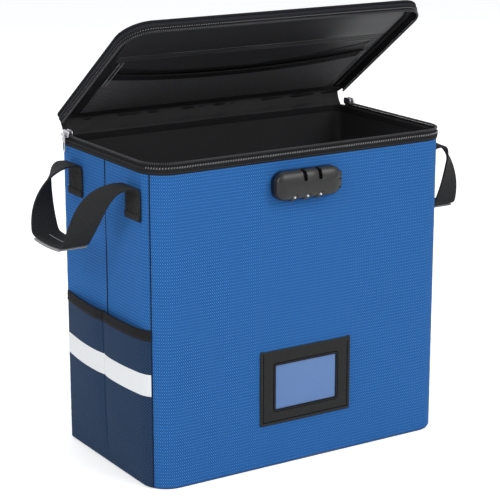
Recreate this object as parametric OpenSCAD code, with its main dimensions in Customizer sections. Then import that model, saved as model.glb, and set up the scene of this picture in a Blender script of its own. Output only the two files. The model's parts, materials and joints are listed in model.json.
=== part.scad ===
// Soft-sided record carrying case: a stiffened fabric box with a zip-round lid, a
// combination lock, a label holder, a side pocket and two webbing handles.
// Origin: centre of the base. +X runs to the right along the front, -Y is the front,
// +Z is up. Sizes are in millimetres. The lid is drawn shut and turned to lid_open.

/* [Body] */
// Length of the body along the front
case_l = 360; // [330:1:420]
// Width of the body from front to back
case_w = 200; // [180:1:260]
// Height from the floor to the middle of the zip
case_h = 340; // [320:1:400]
// Plan radius of the two front corners
front_r = 28; // [20:1:40]
// Plan radius of the two back corners
back_r = 12; // [8:1:24]
// Angle round a front corner at which the side seam lies, 0 at the side
seam_turn = 30; // [15:15:75]
// Thickness of the outer fabric
skin_t = 1.2; // [0.8:0.1:2]
// Thickness of the stiffening boards
board_t = 2.5; // [1.5:0.1:4]
// Thickness of the lining
lining_t = 0.8; // [0.5:0.1:1.5]
// Width left free between boards at a seam or a fold
board_gap = 5; // [2:0.5:12]

/* [Base] */
// Thickness of the removable base board
base_board_t = 3; // [2:0.5:6]
// Thickness of the soft pad on the base board
base_pad_t = 3; // [2:0.5:8]
// Gap round the base board and its pad
base_clear = 1; // [0.5:0.1:3]

/* [Rim and zip] */
// Height of the body's binding
binding_h = 8; // [6:0.5:12]
// Thickness of the binding
binding_t = 1.2; // [0.8:0.1:2]
// Distance from the middle of the zip down to the rim
rim_drop = 5.5; // [4.5:0.1:8]
// Height of the zip tape that shows
tape_h = 2; // [1:0.1:3]
// Thickness of the zip tape
tape_t = 0.8; // [0.6:0.1:1.2]
// Distance of the zip tape inside the outer face
tape_inset = 0.1; // [0.1:0.1:1]
// Thickness of the zip coil across the wall
coil_t = 2.6; // [2:0.1:4]
// Gap between the two coils when the lid is shut
coil_gap = 1.4; // [1.2:0.1:2]

/* [Lid] */
// Angle that the lid is drawn open
lid_open = 36; // [0:1:120]
// Height of the lid's side band
lid_band_h = 7.5; // [5:0.5:20]
// Radius of the piping round the lid's top edge
piping_r = 1.6; // [1:0.1:2.5]
// Height of the binding on the lid's side band
lid_binding_h = 4; // [3:0.5:6]
// Radius of the rolled hinge edge
hinge_roll_r = 1.7; // [1.2:0.1:2.5]
// Thickness of the hinge tape on the body
hinge_tape_t = 0.9; // [0.6:0.1:1.2]
// Distance that the hinge tape stops short of each side
hinge_tape_inset = 16; // [12:1:40]

/* [Lid pockets] */
// Distance of the pocket panels from the lid's edge
pocket_margin = 14; // [8:1:30]
// Front to back depth of the smooth front panel
lid_panel_depth = 50; // [30:1:70]
// Width of the stitched band behind the front panel
lid_band_strip_w = 11; // [6:1:20]
// Gap between the stitched band and the mouth of the net pocket
net_mouth_gap = 28; // [15:1:40]
// How far the net pocket's mouth hangs open
net_gape = 3.5; // [2:0.5:6]
// Width of the elastic at the net pocket's mouth
elastic_w = 8; // [5:1:14]
// Thickness of the pocket fabrics in the lid
pocket_fabric_t = 0.8; // [0.6:0.1:1.5]

/* [Side pocket] */
// Height of the side pocket's mouth above the floor
side_pocket_h = 168; // [120:1:220]
// How far the mouth of the side pocket stands out
side_pocket_bulge = 6; // [5:0.5:20]
// Thickness of the side pocket's fabric
side_pocket_t = 1.2; // [0.8:0.1:2]
// Height of the binding at the side pocket's mouth
pocket_binding_h = 11; // [8:1:18]
// Thickness of the layers sewn on the side pocket
pocket_trim_t = 0.6; // [0.4:0.1:1]
// Width of the reflective strip
strip_h = 23; // [15:1:40]
// Height of the reflective strip's lower edge above the floor
strip_z = 99; // [60:1:120]

/* [Label holder] */
// Length of the label holder
label_l = 113; // [90:1:140]
// Height of the label holder
label_h = 82; // [65:1:100]
// Thickness of the label holder
label_t = 1.6; // [1.2:0.1:3]
// Length of the label window
window_l = 76; // [60:1:85]
// Height of the label window
window_h = 48; // [40:0.5:60]
// Thickness of the clear film
film_t = 0.4; // [0.3:0.1:0.8]
// Width of the film hidden under the holder on each side
film_lap = 4; // [2:0.5:8]
// Distance of the holder's middle from the middle of the front
label_x = -0.5; // [-60:0.5:60]
// Height of the holder's lower edge above the floor
label_z = 46.5; // [20:0.5:100]

/* [Lock] */
// Length of the lock without its button
lock_l = 79.5; // [72:0.5:110]
// Height of the lock
lock_h = 29.5; // [28:0.5:40]
// Depth of the lock
lock_d = 15; // [15:0.5:20]
// Radius of the lock's ends
lock_r = 11; // [6:0.5:14]
// Distance of the lock's middle from the middle of the front
lock_x = -4.75; // [-60:0.25:60]
// Distance of the lock's middle below the middle of the zip
lock_drop = 38.25; // [36:0.25:60]
// Width of each slot for a zip pull
slot_w = 4.5; // [4.3:0.1:6]
// Depth of each slot below the lock's top
slot_h = 11; // [9:0.1:14]
// Distance between the two slots
slot_pitch = 18.2; // [14:0.1:24]
// Distance between the dials
dial_pitch = 15.8; // [12:0.1:20]
// Radius of a dial
dial_r = 6; // [5:0.1:7]
// Width of a dial
dial_w = 6; // [4:0.1:8]
// How far a dial stands out below the lock
dial_proud = 1.5; // [1:0.1:4]
// Radius of the dials' spindle
spindle_r = 1.5; // [1:0.1:2]
// How far the release button stands out of the lock
button_l = 1; // [1:0.5:10]
// Travel of the release button
button_travel = 2.5; // [1.5:0.1:3.5]
// Thickness of the plate behind the front panel
lock_plate_t = 1; // [0.6:0.1:2]

/* [Handles] */
// Width of the webbing
webbing_w = 30; // [20:1:40]
// Thickness of the webbing
webbing_t = 2; // [1.4:0.1:3]
// Distance of each leg of a handle from the middle of the side
leg_y = 62; // [50:1:70]
// Height of the top of the sewn ends below the zip
patch_drop = 36; // [30:1:60]
// Height of the sewn ends
patch_h = 25; // [20:1:50]
// Distance that the webbing's bend stands off the wall
bend_out = 8.2; // [7:0.1:14]
// Rise of the webbing's bend above the sewn ends
bend_rise = 8; // [5:0.5:14]
// Length of the padded grip
grip_l = 56; // [40:1:80]
// Distance of the grip's middle from the wall
grip_out = 51; // [40:1:60]
// Drop of the grip below the bend
grip_drop = 62; // [50:1:90]
// How much lower the right handle hangs than the left one
right_sag = 16; // [0:1:20]
// Thickness of the grip's pad
grip_t = 1.6; // [1:0.1:4]

/* [Zip sliders] */
// Length of a slider
slider_l = 13; // [10:0.5:16]
// Height of a slider
slider_h = 8; // [7.5:0.1:9]
// Thickness of a slider's plates
slider_plate_t = 1.2; // [1:0.1:2]
// Distance of a slider's middle from the back face
slider_back = 19; // [19:1:60]
// Length of a pull
pull_l = 18; // [14:1:18]
// Width of a pull
pull_w = 5; // [4:0.5:8]
// Thickness of a pull
pull_t = 1.2; // [0.8:0.1:2]
// Radius of a pull's pin
pull_pin_r = 0.6; // [0.5:0.05:0.8]

/* [Fits] */
// Gap left between pieces that move on each other
run_gap = 0.3; // [0.25:0.05:0.5]
// Radial gap of a pin in its hole
pin_gap = 0.06; // [0.02:0.01:0.1]
// Gap between two curved layers that are sewn together
sew_gap = 0.2; // [0.1:0.05:0.3]

/* [Hidden] */
$fn = 48;
// Angle between two points round a plan corner
corner_step = 15;

// Heights up the wall
rim_z = case_h - rim_drop;
panel_top = rim_z - binding_t;
lining_inset = skin_t + board_t;
wall_t = skin_t + board_t + lining_t;
floor_z = skin_t + lining_t;
tape_top = rim_z + tape_h;
coil_top = case_h - coil_gap / 2;
coil_inset = tape_inset + (tape_t - coil_t) / 2;

// Heights up the shut lid, mirrored from the body's zip
lid_coil_z = case_h + coil_gap / 2;
lid_tape_z = 2 * case_h - tape_top;
lid_band_z = 2 * case_h - rim_z;
lid_top_z = lid_band_z + lid_band_h;
lid_board_z = lid_top_z - board_t;
lid_lining_z = lid_board_z - lining_t;
hinge_y = case_w / 2 + hinge_tape_t + run_gap + hinge_roll_r;

// A plan corner: points on an arc of radius r round (x, y), from angle a to angle b
function arc(x, y, r, a, b) =
    [for (t = [a : corner_step : b]) [x + r * cos(t), y + r * sin(t)]];

// Corners of the outline that lies inset from the outer face; negative is outside
function front_left(inset, a = 180, b = 270) =
    arc(-case_l / 2 + front_r, -case_w / 2 + front_r, front_r - inset, a, b);
function front_right(inset, a = 270, b = 360) =
    arc(case_l / 2 - front_r, -case_w / 2 + front_r, front_r - inset, a, b);
function back_right(inset, a = 0, b = 90) =
    arc(case_l / 2 - back_r, case_w / 2 - back_r, back_r - inset, a, b);
function back_left(inset, a = 90, b = 180) =
    arc(-case_l / 2 + back_r, case_w / 2 - back_r, back_r - inset, a, b);
function outline(inset) =
    concat(front_left(inset), front_right(inset), back_right(inset), back_left(inset));
// The zip's path: from one back corner along a side, the front and the other side
function zip_path(inset) = concat([[-case_l / 2 + inset, case_w / 2 - back_r]],
    front_left(inset), front_right(inset), [[case_l / 2 - inset, case_w / 2 - back_r]]);

function reversed(list) = [for (i = [len(list) - 1 : -1 : 0]) list[i]];

// A wall between two outlines, from height z, h tall
module ring(outer, inner, z, h) {
    translate([0, 0, z]) linear_extrude(h) difference() {
        polygon(outline(outer));
        polygon(outline(inner));
    }
}
// A wall along an open path, given by its outer and inner points
module strip(outer_path, inner_path, z, h) {
    translate([0, 0, z]) linear_extrude(h) polygon(concat(outer_path, reversed(inner_path)));
}
module plate(inset, z, h) {
    translate([0, 0, z]) linear_extrude(h) polygon(outline(inset));
}
// A box by its low corner and its high corner
module block(low, high) {
    translate(low) cube(high - low);
}
// Turns the shut lid about its hinge
module open_lid() {
    translate([0, hinge_y, case_h]) rotate([-lid_open, 0, 0]) translate([0, -hinge_y, -case_h])
        children();
}
// Draws a left-hand piece, and its mirror image for the right
module right_hand() {
    mirror([1, 0, 0]) children();
}

// ---- Body panels, boards, lining and base ----

panel_h = panel_top - skin_t;
module front_panel() {
    color("royalblue") difference() {
        strip(
            concat(front_left(0, 180 + seam_turn, 270), front_right(0, 270, 360 - seam_turn)),
            concat(front_left(skin_t, 180 + seam_turn, 270),
                front_right(skin_t, 270, 360 - seam_turn)),
            skin_t, panel_h);
        lock_screw_holes();
    }
}
module back_panel() {
    color("royalblue") strip(
        concat(back_right(0, 45, 90), back_left(0, 90, 135)),
        concat(back_right(skin_t, 45, 90), back_left(skin_t, 90, 135)), skin_t, panel_h);
}
module left_panel() {
    color("royalblue") strip(
        concat(back_left(0, 135, 180), front_left(0, 180, 180 + seam_turn)),
        concat(back_left(skin_t, 135, 180), front_left(skin_t, 180, 180 + seam_turn)),
        skin_t, panel_h);
}
module right_panel() {
    right_hand() left_panel();
}
module bottom_panel() {
    color("midnightblue") plate(0, 0, skin_t);
}

board_top = panel_top;
board_h = board_top - skin_t;
// A board against a long wall; side is -1 in front and 1 behind
module long_board(side, corner) {
    half = case_l / 2 - corner - board_gap;
    y_out = side * (case_w / 2 - skin_t);
    y_in = side * (case_w / 2 - skin_t - board_t);
    color("tan") block([-half, min(y_out, y_in), skin_t], [half, max(y_out, y_in), board_top]);
}
module front_board() {
    difference() {
        long_board(-1, front_r);
        lock_screw_holes();
    }
}
module back_board() {
    long_board(1, back_r);
}
// The side boards come in two, so that the side can fold along its middle
module left_side_board(y_low, y_high) {
    color("tan") block([-case_l / 2 + skin_t, y_low, skin_t],
        [-case_l / 2 + skin_t + board_t, y_high, board_top]);
}
module left_front_board() {
    left_side_board(-case_w / 2 + front_r, -board_gap / 2);
}
module left_back_board() {
    left_side_board(board_gap / 2, case_w / 2 - back_r);
}
module right_front_board() {
    right_hand() left_front_board();
}
module right_back_board() {
    right_hand() left_back_board();
}
module body_lining() {
    color("black") difference() {
        plate(lining_inset, skin_t, panel_top - skin_t);
        plate(wall_t, floor_z, panel_top);
        lock_screw_holes();
    }
}
module base_board() {
    color("dimgray") plate(wall_t + base_clear, floor_z, base_board_t);
}
module base_pad() {
    color("black") plate(wall_t + base_clear, floor_z + base_board_t, base_pad_t);
}

// ---- Rim, zip and hinge ----

module rim_binding() {
    color("black") {
        difference() {
            plate(-binding_t, rim_z - binding_h, binding_h);
            plate(0, rim_z - binding_h - binding_t, binding_h);
            plate(wall_t, rim_z - 2 * binding_t, 3 * binding_t);
        }
    }
}
module zip_strip(inset, thick, z, h) {
    strip(zip_path(inset), zip_path(inset + thick), z, h);
}
module body_zip_tape() {
    color("black") zip_strip(tape_inset, tape_t, rim_z, tape_h);
}
module body_zip_coil() {
    color("dimgray") zip_strip(coil_inset, coil_t, tape_top, coil_top - tape_top);
}
hinge_tape_half = case_l / 2 - hinge_tape_inset;
module hinge_tape() {
    color("black") block([-hinge_tape_half, case_w / 2, rim_z],
        [hinge_tape_half, case_w / 2 + hinge_tape_t, case_h + hinge_roll_r]);
}

// ---- Lid ----

module lid_cover() {
    color("royalblue") open_lid() plate(0, lid_top_z, skin_t);
}
module lid_board() {
    color("tan") open_lid() plate(skin_t, lid_board_z, board_t);
}
module lid_lining() {
    color("black") open_lid() plate(skin_t, lid_lining_z, lining_t);
}
module lid_side_band() {
    color("black") open_lid() ring(0, skin_t, lid_band_z, lid_band_h);
}
module lid_piping() {
    color("black") open_lid() ring(-piping_r, 0, lid_top_z + skin_t - 2 * piping_r, 2 * piping_r);
}
module lid_binding() {
    color("black") open_lid() ring(-binding_t, 0, lid_band_z, lid_binding_h);
}
module lid_zip_tape() {
    color("black") open_lid()
        zip_strip(tape_inset, tape_t, lid_tape_z, lid_band_z - lid_tape_z);
}
module lid_zip_coil() {
    color("dimgray") open_lid() zip_strip(coil_inset, coil_t, lid_coil_z, lid_tape_z - lid_coil_z);
}
// The lid's half of the fabric hinge, with its edge rolled round the hinge line
module lid_hinge_roll() {
    roll_in = hinge_y - hinge_roll_r;
    color("black") open_lid() {
        translate([-hinge_tape_half, hinge_y, case_h]) rotate([0, 90, 0])
            cylinder(r = hinge_roll_r, h = 2 * hinge_tape_half);
        block([-hinge_tape_half, roll_in, case_h],
            [hinge_tape_half, hinge_y, lid_band_z + lid_binding_h]);
    }
}

// Plan edges of the lid's pockets, with the lid shut
pocket_half = case_l / 2 - pocket_margin;
lid_panel_front = -case_w / 2 + pocket_margin;
lid_panel_back = lid_panel_front + lid_panel_depth;
band_strip_back = lid_panel_back + lid_band_strip_w;
net_front = band_strip_back + net_mouth_gap;
net_back = case_w / 2 - pocket_margin;
module lid_front_panel() {
    color("dimgray") open_lid() translate([0, 0, lid_lining_z - pocket_fabric_t])
        linear_extrude(pocket_fabric_t) polygon(concat(
            arc(-pocket_half + front_r / 2, lid_panel_front + front_r / 2, front_r / 2, 180, 270),
            arc(pocket_half - front_r / 2, lid_panel_front + front_r / 2, front_r / 2, 270, 360),
            [[pocket_half, lid_panel_back], [-pocket_half, lid_panel_back]]));
}
module lid_stitched_band() {
    color("black") open_lid() block([-pocket_half, lid_panel_back, lid_lining_z - 2 * pocket_fabric_t],
        [pocket_half, band_strip_back, lid_lining_z]);
}

// A curved sheet between two grids of points with the same rows and columns
module sheet(top, bottom) {
    rows = len(top);
    cols = len(top[0]);
    layer = rows * cols;
    points = concat([for (row = top) for (p = row) p], [for (row = bottom) for (p = row) p]);
    cells = [for (i = [0 : rows - 2]) for (j = [0 : cols - 2]) i * cols + j];
    rim = concat([for (j = [0 : cols - 1]) j], [for (i = [1 : rows - 1]) i * cols + cols - 1],
        [for (j = [cols - 2 : -1 : 0]) (rows - 1) * cols + j],
        [for (i = [rows - 2 : -1 : 1]) i * cols]);
    faces = concat(
        [for (c = cells) [c, c + 1, c + cols + 1]], [for (c = cells) [c, c + cols + 1, c + cols]],
        [for (c = cells) [layer + c, layer + c + cols + 1, layer + c + 1]],
        [for (c = cells) [layer + c, layer + c + cols, layer + c + cols + 1]],
        [for (k = [0 : len(rim) - 1]) let (m = (k + 1) % len(rim)) [rim[k], rim[k] + layer, rim[m]]],
        [for (k = [0 : len(rim) - 1]) let (m = (k + 1) % len(rim))
            [rim[m], rim[k] + layer, rim[m] + layer]]);
    polyhedron(points, faces, convexity = 4);
}

// How far the net pocket hangs below the lid's lining: across is -1 to 1, back is 0 to 1
function net_hang(across, back) = net_gape * (1 - pow(abs(across), 3)) * pow(1 - back, 2);
net_steps = 10;
function net_grid(y_front, y_back, drop) =
    [for (i = [0 : net_steps]) [for (j = [0 : net_steps])
        let (across = 2 * j / net_steps - 1, y = y_front + (y_back - y_front) * i / net_steps)
        [across * pocket_half, y,
            lid_lining_z - drop - net_hang(across, (y - net_front) / (net_back - net_front))]]];
module lid_net_pocket() {
    color("dimgray") open_lid() sheet(
        net_grid(net_front, net_back, 0), net_grid(net_front, net_back, pocket_fabric_t));
}
module lid_net_elastic() {
    top = pocket_fabric_t + sew_gap;
    color("black") open_lid() sheet(net_grid(net_front, net_front + elastic_w, top),
        net_grid(net_front, net_front + elastic_w, top + pocket_fabric_t));
}

// ---- Side pocket ----

// The side pocket runs from the back corner to the front seam on the left side
side_run = case_w - back_r - front_r;
seam_run = front_r * seam_turn * PI / 180;
pocket_run = side_run + seam_run;
// A point out from the left wall, at distance s along it from the back corner
function left_wall(s, out) = s <= side_run
    ? [-case_l / 2 - out, case_w / 2 - back_r - s]
    : let (t = 180 + (s - side_run) / front_r * 180 / PI)
        [-case_l / 2 + front_r + (front_r + out) * cos(t),
            -case_w / 2 + front_r + (front_r + out) * sin(t)];
function pocket_swell(s, z) = side_pocket_bulge
    * (1 - pow(abs(2 * s / pocket_run - 1), 2.5)) * (1 - pow(1 - z / side_pocket_h, 3));
pocket_cols = 18;
pocket_rows = 12;
// Stops along the wall: even ones on the flat side, then one at each point of the corner
pocket_stops = concat([for (j = [0 : pocket_cols]) side_run * j / pocket_cols],
    [for (turn = [corner_step : corner_step : seam_turn]) side_run + front_r * turn * PI / 180]);
function pocket_grid(z_low, z_high, out, rows = pocket_rows) =
    [for (i = [0 : rows]) [for (s = pocket_stops)
        let (z = z_low + (z_high - z_low) * i / rows, p = left_wall(s, out + pocket_swell(s, z)))
        [p[0], p[1], z]]];
module side_pocket() {
    color("darkslateblue") sheet(pocket_grid(0, side_pocket_h, side_pocket_t),
        pocket_grid(0, side_pocket_h, 0));
}
module side_pocket_binding() {
    color("black") sheet(
        pocket_grid(side_pocket_h - pocket_binding_h, side_pocket_h,
            side_pocket_t + pocket_trim_t, 2),
        pocket_grid(side_pocket_h - pocket_binding_h, side_pocket_h, side_pocket_t, 2));
}
module reflective_strip() {
    color("gainsboro") sheet(
        pocket_grid(strip_z, strip_z + strip_h, side_pocket_t + pocket_trim_t, 3),
        pocket_grid(strip_z, strip_z + strip_h, side_pocket_t, 3));
}

// ---- Label holder ----

front_y = -case_w / 2;
module label_block(l, h, y_back, y_front) {
    middle_z = label_z + label_h / 2;
    block([label_x - l / 2, y_front, middle_z - h / 2], [label_x + l / 2, y_back, middle_z + h / 2]);
}
module label_frame() {
    color("black") difference() {
        label_block(label_l, label_h, front_y, front_y - label_t);
        label_block(window_l, window_h, front_y + label_t, front_y - 2 * label_t);
        label_block(window_l + 2 * film_lap, window_h + 2 * film_lap, front_y + label_t,
            front_y - film_t);
    }
}
module label_film() {
    color("lightsteelblue") label_block(window_l + 2 * film_lap, window_h + 2 * film_lap,
        front_y, front_y - film_t);
}

// ---- Combination lock ----

lock_z = case_h - lock_drop;
lock_left = lock_x - lock_l / 2;
lock_right = lock_x + lock_l / 2;
lock_low = lock_z - lock_h / 2;
lock_top = lock_z + lock_h / 2;
lock_face_y = front_y - lock_d;
// The dials lie along a spindle near the lock's lower edge
dial_axis_y = front_y - lock_d / 2;
dial_axis_z = lock_low - dial_proud + dial_r;
dial_room_r = dial_r + run_gap;
middle_dial_x = lock_x - 3.75;
slots_middle_x = lock_x + 2.65;
latch_wall = 2;
latch_t = 2.4;
latch_h = 5;
latch_y = front_y - latch_wall - run_gap;
latch_z = lock_top - slot_h + 1;
latch_left = slots_middle_x - slot_pitch / 2 - slot_w;
button_h = 19.5;
button_d = 10;
button_root = 4;
button_z = lock_z - button_h / 2;
button_y = front_y - latch_wall - button_d;
spring_t = 1.6;
spring_room = 6;
spindle_left = middle_dial_x - dial_pitch - dial_w - 3;
spindle_l = 2 * (dial_pitch + dial_w + 3);

// A rod along X from x, through (y, z)
module rod_x(x, y, z, r, l) {
    translate([x, y, z]) rotate([0, 90, 0]) cylinder(r = r, h = l);
}
module lock_outline() {
    rise = lock_h - 2 * lock_r;
    translate([lock_left, lock_low]) union() {
        translate([lock_r, 0]) square([lock_l - 2 * lock_r, lock_h]);
        translate([0, lock_r]) square([lock_l, rise]);
        for (x = [lock_r, lock_l - lock_r]) for (z = [lock_r, lock_h - lock_r])
            translate([x, z]) circle(r = lock_r);
    }
}
function slot_x(i) = slots_middle_x + (i - 0.5) * slot_pitch;
function dial_x(i) = middle_dial_x + (i - 1) * dial_pitch;
module lock_housing() {
    color("black") difference() {
        translate([0, front_y, 0]) rotate([90, 0, 0]) linear_extrude(lock_d) lock_outline();
        // Slots for the zip pulls, open at the top and in front
        for (i = [0, 1]) block(
            [slot_x(i) - slot_w / 2, lock_face_y - 1, lock_top - slot_h],
            [slot_x(i) + slot_w / 2, latch_y, lock_top + 1]);
        // Rooms for the dials, open below
        for (i = [0 : 2]) block(
            [dial_x(i) - dial_w / 2 - run_gap, dial_axis_y - dial_room_r, lock_low - 1],
            [dial_x(i) + dial_w / 2 + run_gap, dial_axis_y + dial_room_r,
                dial_axis_z + dial_room_r]);
        // Bore for the spindle
        rod_x(spindle_left, dial_axis_y, dial_axis_z, spindle_r, spindle_l);
        // Channel for the latch and its spring
        block([latch_left - button_travel - spring_room, latch_y - latch_t - run_gap,
            latch_z - run_gap],
            [lock_right - button_root, front_y - latch_wall, latch_z + latch_h + run_gap]);
        // Room for the button, open at the right end
        block([lock_right - button_root - button_travel - run_gap, button_y - run_gap,
            button_z - run_gap],
            [lock_right + 1, front_y - latch_wall, button_z + button_h + run_gap]);
        lock_screw_holes();
    }
}
plate_margin = 4;
module lock_plate() {
    color("silver") difference() {
        block([lock_left + lock_r, front_y + wall_t, lock_low + plate_margin],
            [lock_right - lock_r, front_y + wall_t + lock_plate_t, lock_top - plate_margin]);
        lock_screw_holes();
    }
}
module lock_spindle() {
    color("silver") rod_x(spindle_left, dial_axis_y, dial_axis_z, spindle_r, spindle_l);
}
screw_r = 1.2;
screw_head_r = 2.4;
screw_head_t = 1;
screw_inset = 8;
screw_bite = 5;
screw_head_y = front_y + wall_t + lock_plate_t;
screw_l = screw_head_y - front_y + screw_bite;
module at_lock_screws() {
    for (x = [lock_left + lock_r + screw_inset, lock_right - lock_r - screw_inset])
        translate([x, screw_head_y, lock_z]) rotate([90, 0, 0]) children();
}
module lock_screw_holes() {
    at_lock_screws() translate([0, 0, -1]) cylinder(r = screw_r + pin_gap, h = screw_l + 1);
}
// Two screws from inside, through the plate and the wall into the lock's back
module lock_screws() {
    color("silver") at_lock_screws() {
        translate([0, 0, -screw_head_t]) cylinder(r = screw_head_r, h = screw_head_t);
        cylinder(r = screw_r, h = screw_l);
    }
}
module dial(i) {
    color("black") difference() {
        rod_x(dial_x(i) - dial_w / 2, dial_axis_y, dial_axis_z, dial_r, dial_w);
        rod_x(dial_x(i) - dial_w, dial_axis_y, dial_axis_z, spindle_r + pin_gap, 2 * dial_w);
    }
}
module lock_dial_1() {
    dial(0);
}
module lock_dial_2() {
    dial(1);
}
module lock_dial_3() {
    dial(2);
}
module lock_button() {
    color("dimgray") block([lock_right - button_root, button_y, button_z],
        [lock_right + button_l, front_y - latch_wall - run_gap, button_z + button_h]);
}
module lock_latch() {
    color("silver") block([latch_left, latch_y - latch_t, latch_z],
        [lock_right - button_root, latch_y, latch_z + latch_h]);
}
module lock_spring() {
    color("silver") block(
        [latch_left - button_travel - spring_room, latch_y - latch_t / 2 - spring_t / 2,
            latch_z + (latch_h - spring_t) / 2],
        [latch_left, latch_y - latch_t / 2 + spring_t / 2, latch_z + (latch_h + spring_t) / 2]);
}

// ---- Zip sliders and pulls ----

side_x = -case_l / 2;
slider_y = case_w / 2 - slider_back;
slider_outer_x = side_x + coil_inset - run_gap;
slider_inner_x = side_x + coil_inset + coil_t + run_gap;
slider_post = coil_gap - 2 * run_gap;
pull_eye_r = 1.6;
pull_x = slider_outer_x - slider_plate_t - pull_eye_r - run_gap;
pull_z = case_h - 1;
lug_t = 1;
module left_slider() {
    low_y = slider_y - slider_l / 2;
    high_y = slider_y + slider_l / 2;
    low_z = case_h - slider_h / 2;
    color("silver") {
        block([slider_outer_x - slider_plate_t, low_y, low_z],
            [slider_outer_x, high_y, low_z + slider_h]);
        for (y = [slider_y - pull_w / 2 - run_gap - lug_t, slider_y + pull_w / 2 + run_gap])
            block([pull_x - pull_eye_r, y, pull_z - pull_eye_r],
                [slider_outer_x - slider_plate_t, y + lug_t, pull_z + pull_eye_r]);
        block([slider_inner_x, low_y, low_z], [slider_inner_x + slider_plate_t, high_y,
            low_z + slider_h]);
        block([slider_outer_x, slider_y - slider_l / 4, case_h - slider_post / 2],
            [slider_inner_x, slider_y + slider_l / 4, case_h + slider_post / 2]);
        translate([pull_x, slider_y - pull_w / 2 - run_gap, pull_z]) rotate([-90, 0, 0])
            cylinder(r = pull_pin_r, h = pull_w + 2 * run_gap);
    }
}
module left_pull() {
    low_y = slider_y - pull_w / 2;
    color("silver") difference() {
        union() {
            translate([pull_x, low_y, pull_z]) rotate([-90, 0, 0])
                cylinder(r = pull_eye_r, h = pull_w);
            block([pull_x - pull_t / 2, low_y, pull_z - pull_l],
                [pull_x + pull_t / 2, low_y + pull_w, pull_z]);
        }
        translate([pull_x, low_y - 1, pull_z]) rotate([-90, 0, 0])
            cylinder(r = pull_pin_r + pin_gap, h = pull_w + 2);
    }
}
module slider_left() {
    left_slider();
}
module slider_right() {
    right_hand() left_slider();
}
module pull_left() {
    left_pull();
}
module pull_right() {
    right_hand() left_pull();
}

// ---- Handles ----

// A ribbon through a list of [centre, width direction, thickness], one section each
module ribbon(sections, width) {
    count = len(sections);
    function unit(v) = v / norm(v);
    function ahead(i) = unit(sections[min(i + 1, count - 1)][0] - sections[max(i - 1, 0)][0]);
    points = [for (i = [0 : count - 1])
        let (along = ahead(i), wide = sections[i][1], across = unit(wide - (wide * along) * along),
            thick = cross(along, across), half = sections[i][2] / 2, middle = sections[i][0])
        for (k = [[-1, -1], [1, -1], [1, 1], [-1, 1]])
            middle + across * (k[0] * width / 2) + thick * (k[1] * half)];
    last = 4 * (count - 1);
    faces = concat([[0, 1, 2], [0, 2, 3]],
        [for (i = [0 : count - 2]) for (k = [0 : 3]) let (a = 4 * i + k, b = 4 * i + (k + 1) % 4)
            [a, a + 4, b + 4]],
        [for (i = [0 : count - 2]) for (k = [0 : 3]) let (a = 4 * i + k, b = 4 * i + (k + 1) % 4)
            [a, b + 4, b]],
        [[last, last + 2, last + 1], [last, last + 3, last + 2]]);
    polyhedron(points, faces, convexity = 6);
}

patch_top = case_h - patch_drop;
bend_z = patch_top + bend_rise;
// Route of one leg from its bend to the grip, as shares of the way out, along and down
leg_route = [[0, 0, 0], [0.2, 0.01, 0], [0.44, 0.11, 0.06], [0.65, 0.23, 0.19],
    [0.81, 0.38, 0.39], [0.92, 0.56, 0.63], [0.985, 0.8, 0.86], [1, 1, 0.98]];
grip_start_y = grip_l / 2 + 4;
function leg_point(share, side, drop) = [
    side_x - bend_out - share[0] * (grip_out - bend_out),
    side * (leg_y - share[1] * (leg_y - grip_start_y)),
    bend_z - share[2] * drop];
// A smooth curve through points i and i + 1 of a list
function between(list, i, t) = let (n = len(list) - 1, a = list[max(i - 1, 0)], b = list[i],
        c = list[min(i + 1, n)], d = list[min(i + 2, n)])
    0.5 * (2 * b + (c - a) * t + (2 * a - 5 * b + 4 * c - d) * t * t
        + (3 * b - a - 3 * c + d) * t * t * t);
leg_steps = 3;
function leg_curve(side, drop) =
    let (spots = [for (share = leg_route) leg_point(share, side, drop)]) concat(
        [for (i = [0 : len(spots) - 2]) for (k = [0 : leg_steps - 1])
            between(spots, i, k / leg_steps)], [spots[len(spots) - 1]]);
// The webbing's width turns from the wall's direction at the bend to inwards at the grip
function leg_width_dir(share, side) =
    let (turn = 90 * share * share * (3 - 2 * share)) [sin(turn), side * cos(turn), 0];
function leg_sections(side, drop) = let (curve = leg_curve(side, drop), n = len(curve) - 1)
    [for (i = [0 : n]) [curve[i], leg_width_dir(i / n, side), webbing_t]];
// The first bit of webbing is rounded round the bend's own axis
function nose_sections(side) = let (start = leg_point([0, 0, 0], side, 0))
    [for (share = [0.95, 0.7, 0.4]) [start + [share * webbing_t / 2, 0, 0], [0, side, 0],
        webbing_t * sqrt(1 - share * share)]];
grip_sag = 1.5;
// The strap of a handle on the left side, whose grip hangs this far below the bend
module left_strap(drop) {
    grip_half = grip_l / 2 - 2;
    front_half = concat(nose_sections(-1), leg_sections(-1, drop));
    back_half = concat(nose_sections(1), leg_sections(1, drop));
    middle = [for (y = [-grip_half : grip_half / 3 : grip_half])
        [[side_x - grip_out, y, bend_z - drop - grip_sag * (1 - pow(y / grip_half, 2))],
            [1, 0, 0], webbing_t]];
    color("black") ribbon(concat(front_half, middle, reversed(back_half)), webbing_w);
}
module left_grip(drop) {
    rows = [for (y = [-grip_l / 2 : grip_l / 8 : grip_l / 2])
        [[side_x - grip_out, y, bend_z - drop - webbing_t / 2 - run_gap / 2 - grip_t / 2
            - grip_sag * (1 - pow(2 * y / grip_l, 2))], [1, 0, 0], grip_t]];
    color("lightgray") ribbon(rows, webbing_w + 2);
}
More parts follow.
